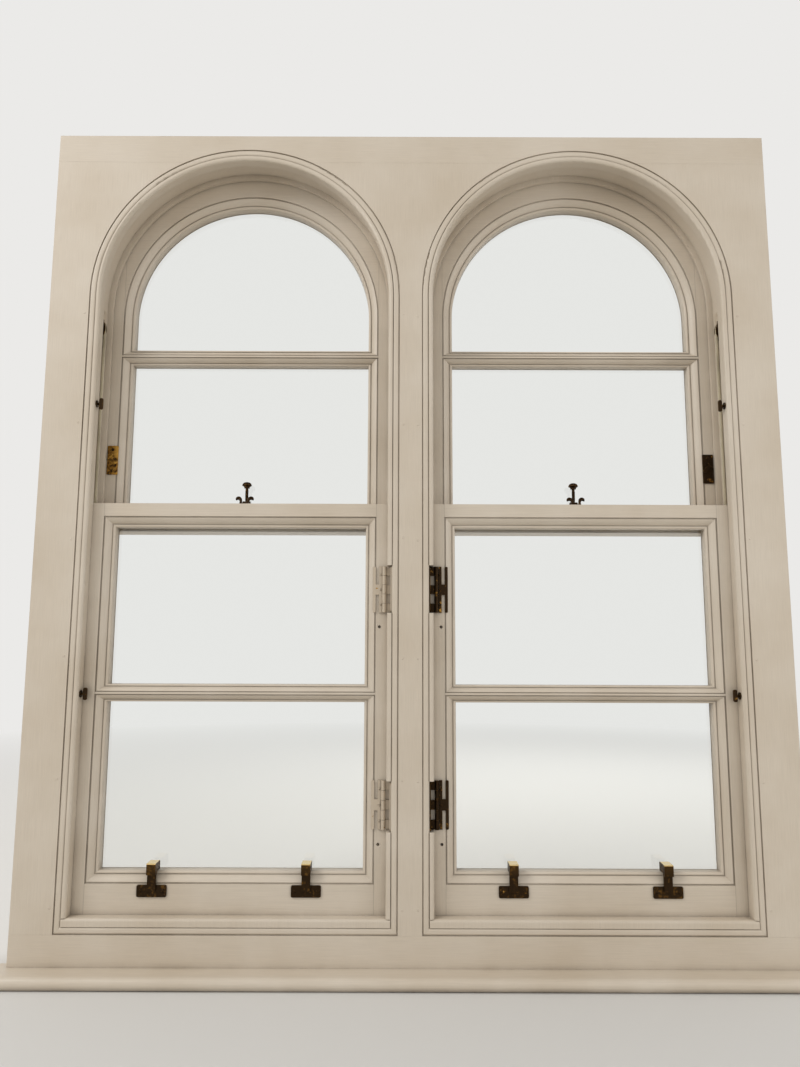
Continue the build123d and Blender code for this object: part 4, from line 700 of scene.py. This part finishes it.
screwThread, milledEdge = threadTree(), millTree()
for hand in hands:
    low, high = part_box(f"fastener_arm_{hand}")
    pivot = Vector(((low.x + high.x) / 2, (low.y + high.y) / 2, low.z + fastener["pivot"]))
    keepFront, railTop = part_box(f"keep_{hand}")[0].y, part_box(f"lower_sash_{hand}")[1].z
    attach(castHorns(f"keep_horns_{hand}", pivot.x, keepFront, railTop), f"lower_sash_{hand}")
    start = pointMesh([pivot + Vector((0, 0, fastener["from"]))])
    thread = grow(f"fastener_thread_{hand}", screwThread, start, darkBrass)
    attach(thread, f"fastener_arm_{hand}")
    low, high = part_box(f"fastener_knob_{hand}")
    edge = Vector(((low.x + high.x) / 2, (low.y + high.y) / 2, high.z - fastener["edgeDrop"]))
    milled = grow(f"fastener_knob_milling_{hand}", milledEdge, pointMesh([edge]), darkBrass)
    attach(milled, f"fastener_knob_{hand}")
print("fasteners threaded")


# sash cords: the braid's sizes, the rim of the wheels outside the cord, the knot in the sash's edge,
# and how much of the cord's foot stays rigid in its weight
braid = {"Radius": 0.0030, "Core": 0.0017, "Strand": 0.00082, "Swing": 0.00034, "Lay": 0.022, "Step": 0.0012}
cords = {"rim": 0.003, "arcSteps": 24, "knotAside": 0.0038, "knotHalf": 0.008, "knotEntry": 0.004,
         "knotRadius": 0.0024, "knotCoil": 0.0028, "knotTurns": 2.5, "knotHeight": 0.0105, "knotSteps": 40,
         "inWeight": 0.016}


def braidTree():  # eight strands laid round a core, four each way, each passing over and under the others
    tree, given = newTree("braidedCord", braid)
    line = addNode(tree, "GeometryNodeMeshToCurve", (given["Geometry"],))
    even = addNode(tree, "GeometryNodeResampleCurve", {"Curve": line, "Length": given["Step"]}, mode="LENGTH")
    strands = addNode(tree, "GeometryNodeDuplicateElements", {
        "Geometry": even, "Amount": 8}, None, domain="SPLINE").outputs
    index = strands["Duplicate Index"]
    odd = addNode(tree, "ShaderNodeMath", (index, 2.0), operation="MODULO")
    twice = addNode(tree, "ShaderNodeMath", (odd, 2.0), operation="MULTIPLY")
    hand = addNode(tree, "ShaderNodeMath", (1.0, twice), operation="SUBTRACT")
    half = addNode(tree, "ShaderNodeMath", (index, 2.0), operation="DIVIDE")
    pair = addNode(tree, "ShaderNodeMath", (half,), operation="FLOOR")
    quarter = addNode(tree, "ShaderNodeMath", (pair, math.pi / 2), operation="MULTIPLY")
    run = addNode(tree, "GeometryNodeSplineParameter", out="Length")
    lays = addNode(tree, "ShaderNodeMath", (run, given["Lay"]), operation="DIVIDE")
    turn = addNode(tree, "ShaderNodeMath", (lays, 2 * math.pi), operation="MULTIPLY")
    handed = addNode(tree, "ShaderNodeMath", (turn, hand), operation="MULTIPLY")
    angle = addNode(tree, "ShaderNodeMath", (handed, quarter), operation="ADD")
    crossings = addNode(tree, "ShaderNodeMath", (turn, 4.0), operation="MULTIPLY")
    crossing = addNode(tree, "ShaderNodeMath", (crossings,), operation="COSINE")
    over = addNode(tree, "ShaderNodeMath", (crossing, hand), operation="MULTIPLY")
    swing = addNode(tree, "ShaderNodeMath", (over, given["Swing"]), operation="MULTIPLY")
    inside = addNode(tree, "ShaderNodeMath", (given["Radius"], given["Strand"]), operation="SUBTRACT")
    seat = addNode(tree, "ShaderNodeMath", (inside, given["Swing"]), operation="SUBTRACT")
    reach = addNode(tree, "ShaderNodeMath", (seat, swing), operation="ADD")
    tangent = addNode(tree, "GeometryNodeInputTangent")
    normal = addNode(tree, "GeometryNodeInputNormal")
    aside = addNode(tree, "ShaderNodeVectorMath", (tangent, normal), operation="CROSS_PRODUCT")
    moves = []
    for way, wave in ((normal, "COSINE"), (aside, "SINE")):
        share = addNode(tree, "ShaderNodeMath", (angle,), operation=wave)
        part = addNode(tree, "ShaderNodeMath", (share, reach), operation="MULTIPLY")
        moves.append(addNode(tree, "ShaderNodeVectorMath", {0: way, "Scale": part}, operation="SCALE"))
    offset = addNode(tree, "ShaderNodeVectorMath", moves, operation="ADD")
    laid = addNode(tree, "GeometryNodeSetPosition", {"Geometry": strands[0], "Offset": offset})
    parts = []
    for curve, radius, sides in ((laid, given["Strand"], 5), (even, given["Core"], 8)):
        section = addNode(tree, "GeometryNodeCurvePrimitiveCircle", {"Resolution": sides, "Radius": radius})
        parts.append(addNode(tree, "GeometryNodeCurveToMesh", {
            "Curve": curve, "Profile Curve": section, "Fill Caps": True}))
    whole = addNode(tree, "GeometryNodeJoinGeometry", (parts[0],), None)
    tree.links.new(parts[1], whole.inputs[0])
    smooth = addNode(tree, "GeometryNodeSetShadeSmooth", (whole.outputs[0],))
    return closeTree(tree, smooth, given)


braidedCord = braidTree()


def layCord(name, points, thin=1.0, step=1.0):
    edges = [(i, i + 1) for i in range(len(points) - 1)]
    sizes = {key: size * (step if key == "Step" else thin) for key, size in braid.items()}
    return grow(name, braidedCord, pointMesh(points, edges), cotton, sizes)


def lowestNear(name, x, y, reach=0.004):  # the foot of whatever stands at a place in a node
    points = [vert.co for vert in nodes[name].data.vertices]
    return min(p.z for p in points if abs(p.x - x) < reach and abs(p.y - y) < reach)


def hangCord(hand, level, place):  # one cord: to the sash, over the wheel, to the weight, and its knot
    side = hands[hand] if place == "outer" else -hands[hand]
    low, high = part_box(f"{level}_wheel_{hand}_{place}")
    middle = (low + high) / 2
    radius = (high.x - low.x) / 2 - cords["rim"]
    front, back, y, top = middle.x - side * radius, middle.x + side * radius, middle.y, middle.z
    knotX = front - side * cords["knotAside"]
    knot = lowestNear("sash_cords", knotX, y) + cords["knotHalf"]
    name = f"{level}_{hand}_{place}"
    run = layCord(f"sash_cord_front_{name}", [(front, y, top), (front, y, knot + cords["knotEntry"])])
    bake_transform(run)
    arc = [(middle.x - side * radius * math.cos(t), y, top + radius * math.sin(t))
           for t in [math.pi * i / cords["arcSteps"] for i in range(cords["arcSteps"] + 1)]]
    over = layCord(f"sash_cord_over_{name}", arc)
    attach(over, "frame")
    foot = lowestNear("sash_cords", back, y)
    hung = layCord(f"sash_cord_back_{name}", [(back, y, top), (back, y, foot)], step=2.0)
    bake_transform(hung)
    coil, height, steps = cords["knotCoil"], cords["knotHeight"], cords["knotSteps"]
    loops = []
    for i in range(steps + 1):
        t = 2 * math.pi * cords["knotTurns"] * i / steps
        loops.append((knotX + side * coil * math.cos(t), y + coil * math.sin(t),
                      knot + height / 2 - height * i / steps))
    tied = layCord(f"sash_cord_knot_{name}", loops, thin=cords["knotRadius"] / braid["Radius"])
    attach(tied, f"{level}_sash_{hand}")
    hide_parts("sash_cords")


for hand in hands:
    for level in ("lower", "upper"):
        for place in ("outer", "inner"):
            hangCord(hand, level, place)
print("cords laid")


# pale floor and backdrop, the floor fading into it with distance
studio = {
    "floor": "D9D7D3", "roughness": 0.9, "size": 40.0, "backdrop": "EBEAE8", "near": 1.6, "far": 5.0,
    "light": 0.78,
}
# plain soft light: place, aim, size and power of each lamp, and whether panes and brass mirror it
lamps = {
    "keyLamp": ((-3.0, -1.9, 3.2), (0, 0, 0.8), (1.8, 1.4), 72, True),
    "fillLamp": ((3.2, -1.8, 1.4), (0, 0, 0.8), (1.4, 1.6), 24, True),
    "outerLamp": ((1.2, 3.0, 2.4), (0, 0, 0.9), (2.4, 1.6), 64, False),
}


def seenRay(tree):  # 1 for what the camera sees, straight, mirrored or through the glass
    path = addNode(tree, "ShaderNodeLightPath", out=None).outputs
    seen = addNode(tree, "ShaderNodeMath", (
        path["Is Camera Ray"], path["Is Glossy Ray"]), operation="MAXIMUM")
    return addNode(tree, "ShaderNodeMath", (seen, path["Is Transmission Ray"]), operation="MAXIMUM")


def layFloor():
    bpy.ops.mesh.primitive_plane_add(size=studio["size"])
    floor = bpy.context.object
    floor.name = "studioFloor"
    material, tree = newMaterial("matt_studio_floor")
    matt = addNode(tree, "ShaderNodeBsdfPrincipled", {
        "Base Color": linear(studio["floor"]), "Roughness": studio["roughness"]})
    at = addNode(tree, "ShaderNodeTexCoord", out="Object")
    distance = addNode(tree, "ShaderNodeVectorMath", (at,), "Value", operation="LENGTH")
    far = addNode(tree, "ShaderNodeMapRange", (distance, studio["near"], studio["far"]))
    glowing = addNode(tree, "ShaderNodeMath", (far, seenRay(tree)), operation="MULTIPLY")
    glow = addNode(tree, "ShaderNodeEmission", {"Color": linear(studio["backdrop"]), "Strength": 1.0})
    mixed = addNode(tree, "ShaderNodeMixShader", (glowing, matt, glow))
    addNode(tree, "ShaderNodeOutputMaterial", {"Surface": mixed}, None)
    floor.data.materials.append(material)


def lightWorld():
    world = bpy.data.worlds.new("softStudio")
    world.use_nodes = True
    world.node_tree.nodes.clear()
    strength = addNode(world.node_tree, "ShaderNodeMapRange", (
        seenRay(world.node_tree), 0.0, 1.0, studio["light"], 1.0))
    sky = addNode(world.node_tree, "ShaderNodeBackground", {
        "Color": linear(studio["backdrop"]), "Strength": strength})
    addNode(world.node_tree, "ShaderNodeOutputWorld", {"Surface": sky}, None)
    scene.world = world


def softLamp(name, place, aim, size, power, mirrored):
    lamp = bpy.data.lights.new(name, "AREA")
    lamp.shape = "RECTANGLE"
    lamp.size, lamp.size_y = size
    lamp.energy = power
    holder = bpy.data.objects.new(name, lamp)
    scene.collection.objects.link(holder)
    holder.location = place
    holder.rotation_euler = (Vector(aim) - Vector(place)).to_track_quat("-Z", "Y").to_euler()
    holder.visible_camera = False
    holder.visible_transmission = False
    holder.visible_glossy = mirrored


layFloor()
lightWorld()
for name, values in lamps.items():
    softLamp(name, *values)

# the photograph's own viewpoint: 1.58 m in front of the linings, a little left of the mullion, tipped up
shot = {"place": (-0.021, -1.580, 0.622), "pitch": 97.79, "roll": 0.19, "focal": 27.03, "sensor": 36}
camera = bpy.data.cameras.new("roomCamera")
camera.lens = shot["focal"]
camera.sensor_width = shot["sensor"]
cameraObject = bpy.data.objects.new("roomCamera", camera)
scene.collection.objects.link(cameraObject)
pitch = Matrix.Rotation(math.radians(shot["pitch"]), 4, "X")
roll = Matrix.Rotation(math.radians(shot["roll"]), 4, "Z")
cameraObject.matrix_world = Matrix.Translation(shot["place"]) @ pitch @ roll
scene.camera = cameraObject
scene.view_settings.view_transform = "Standard"
print("studio lit")
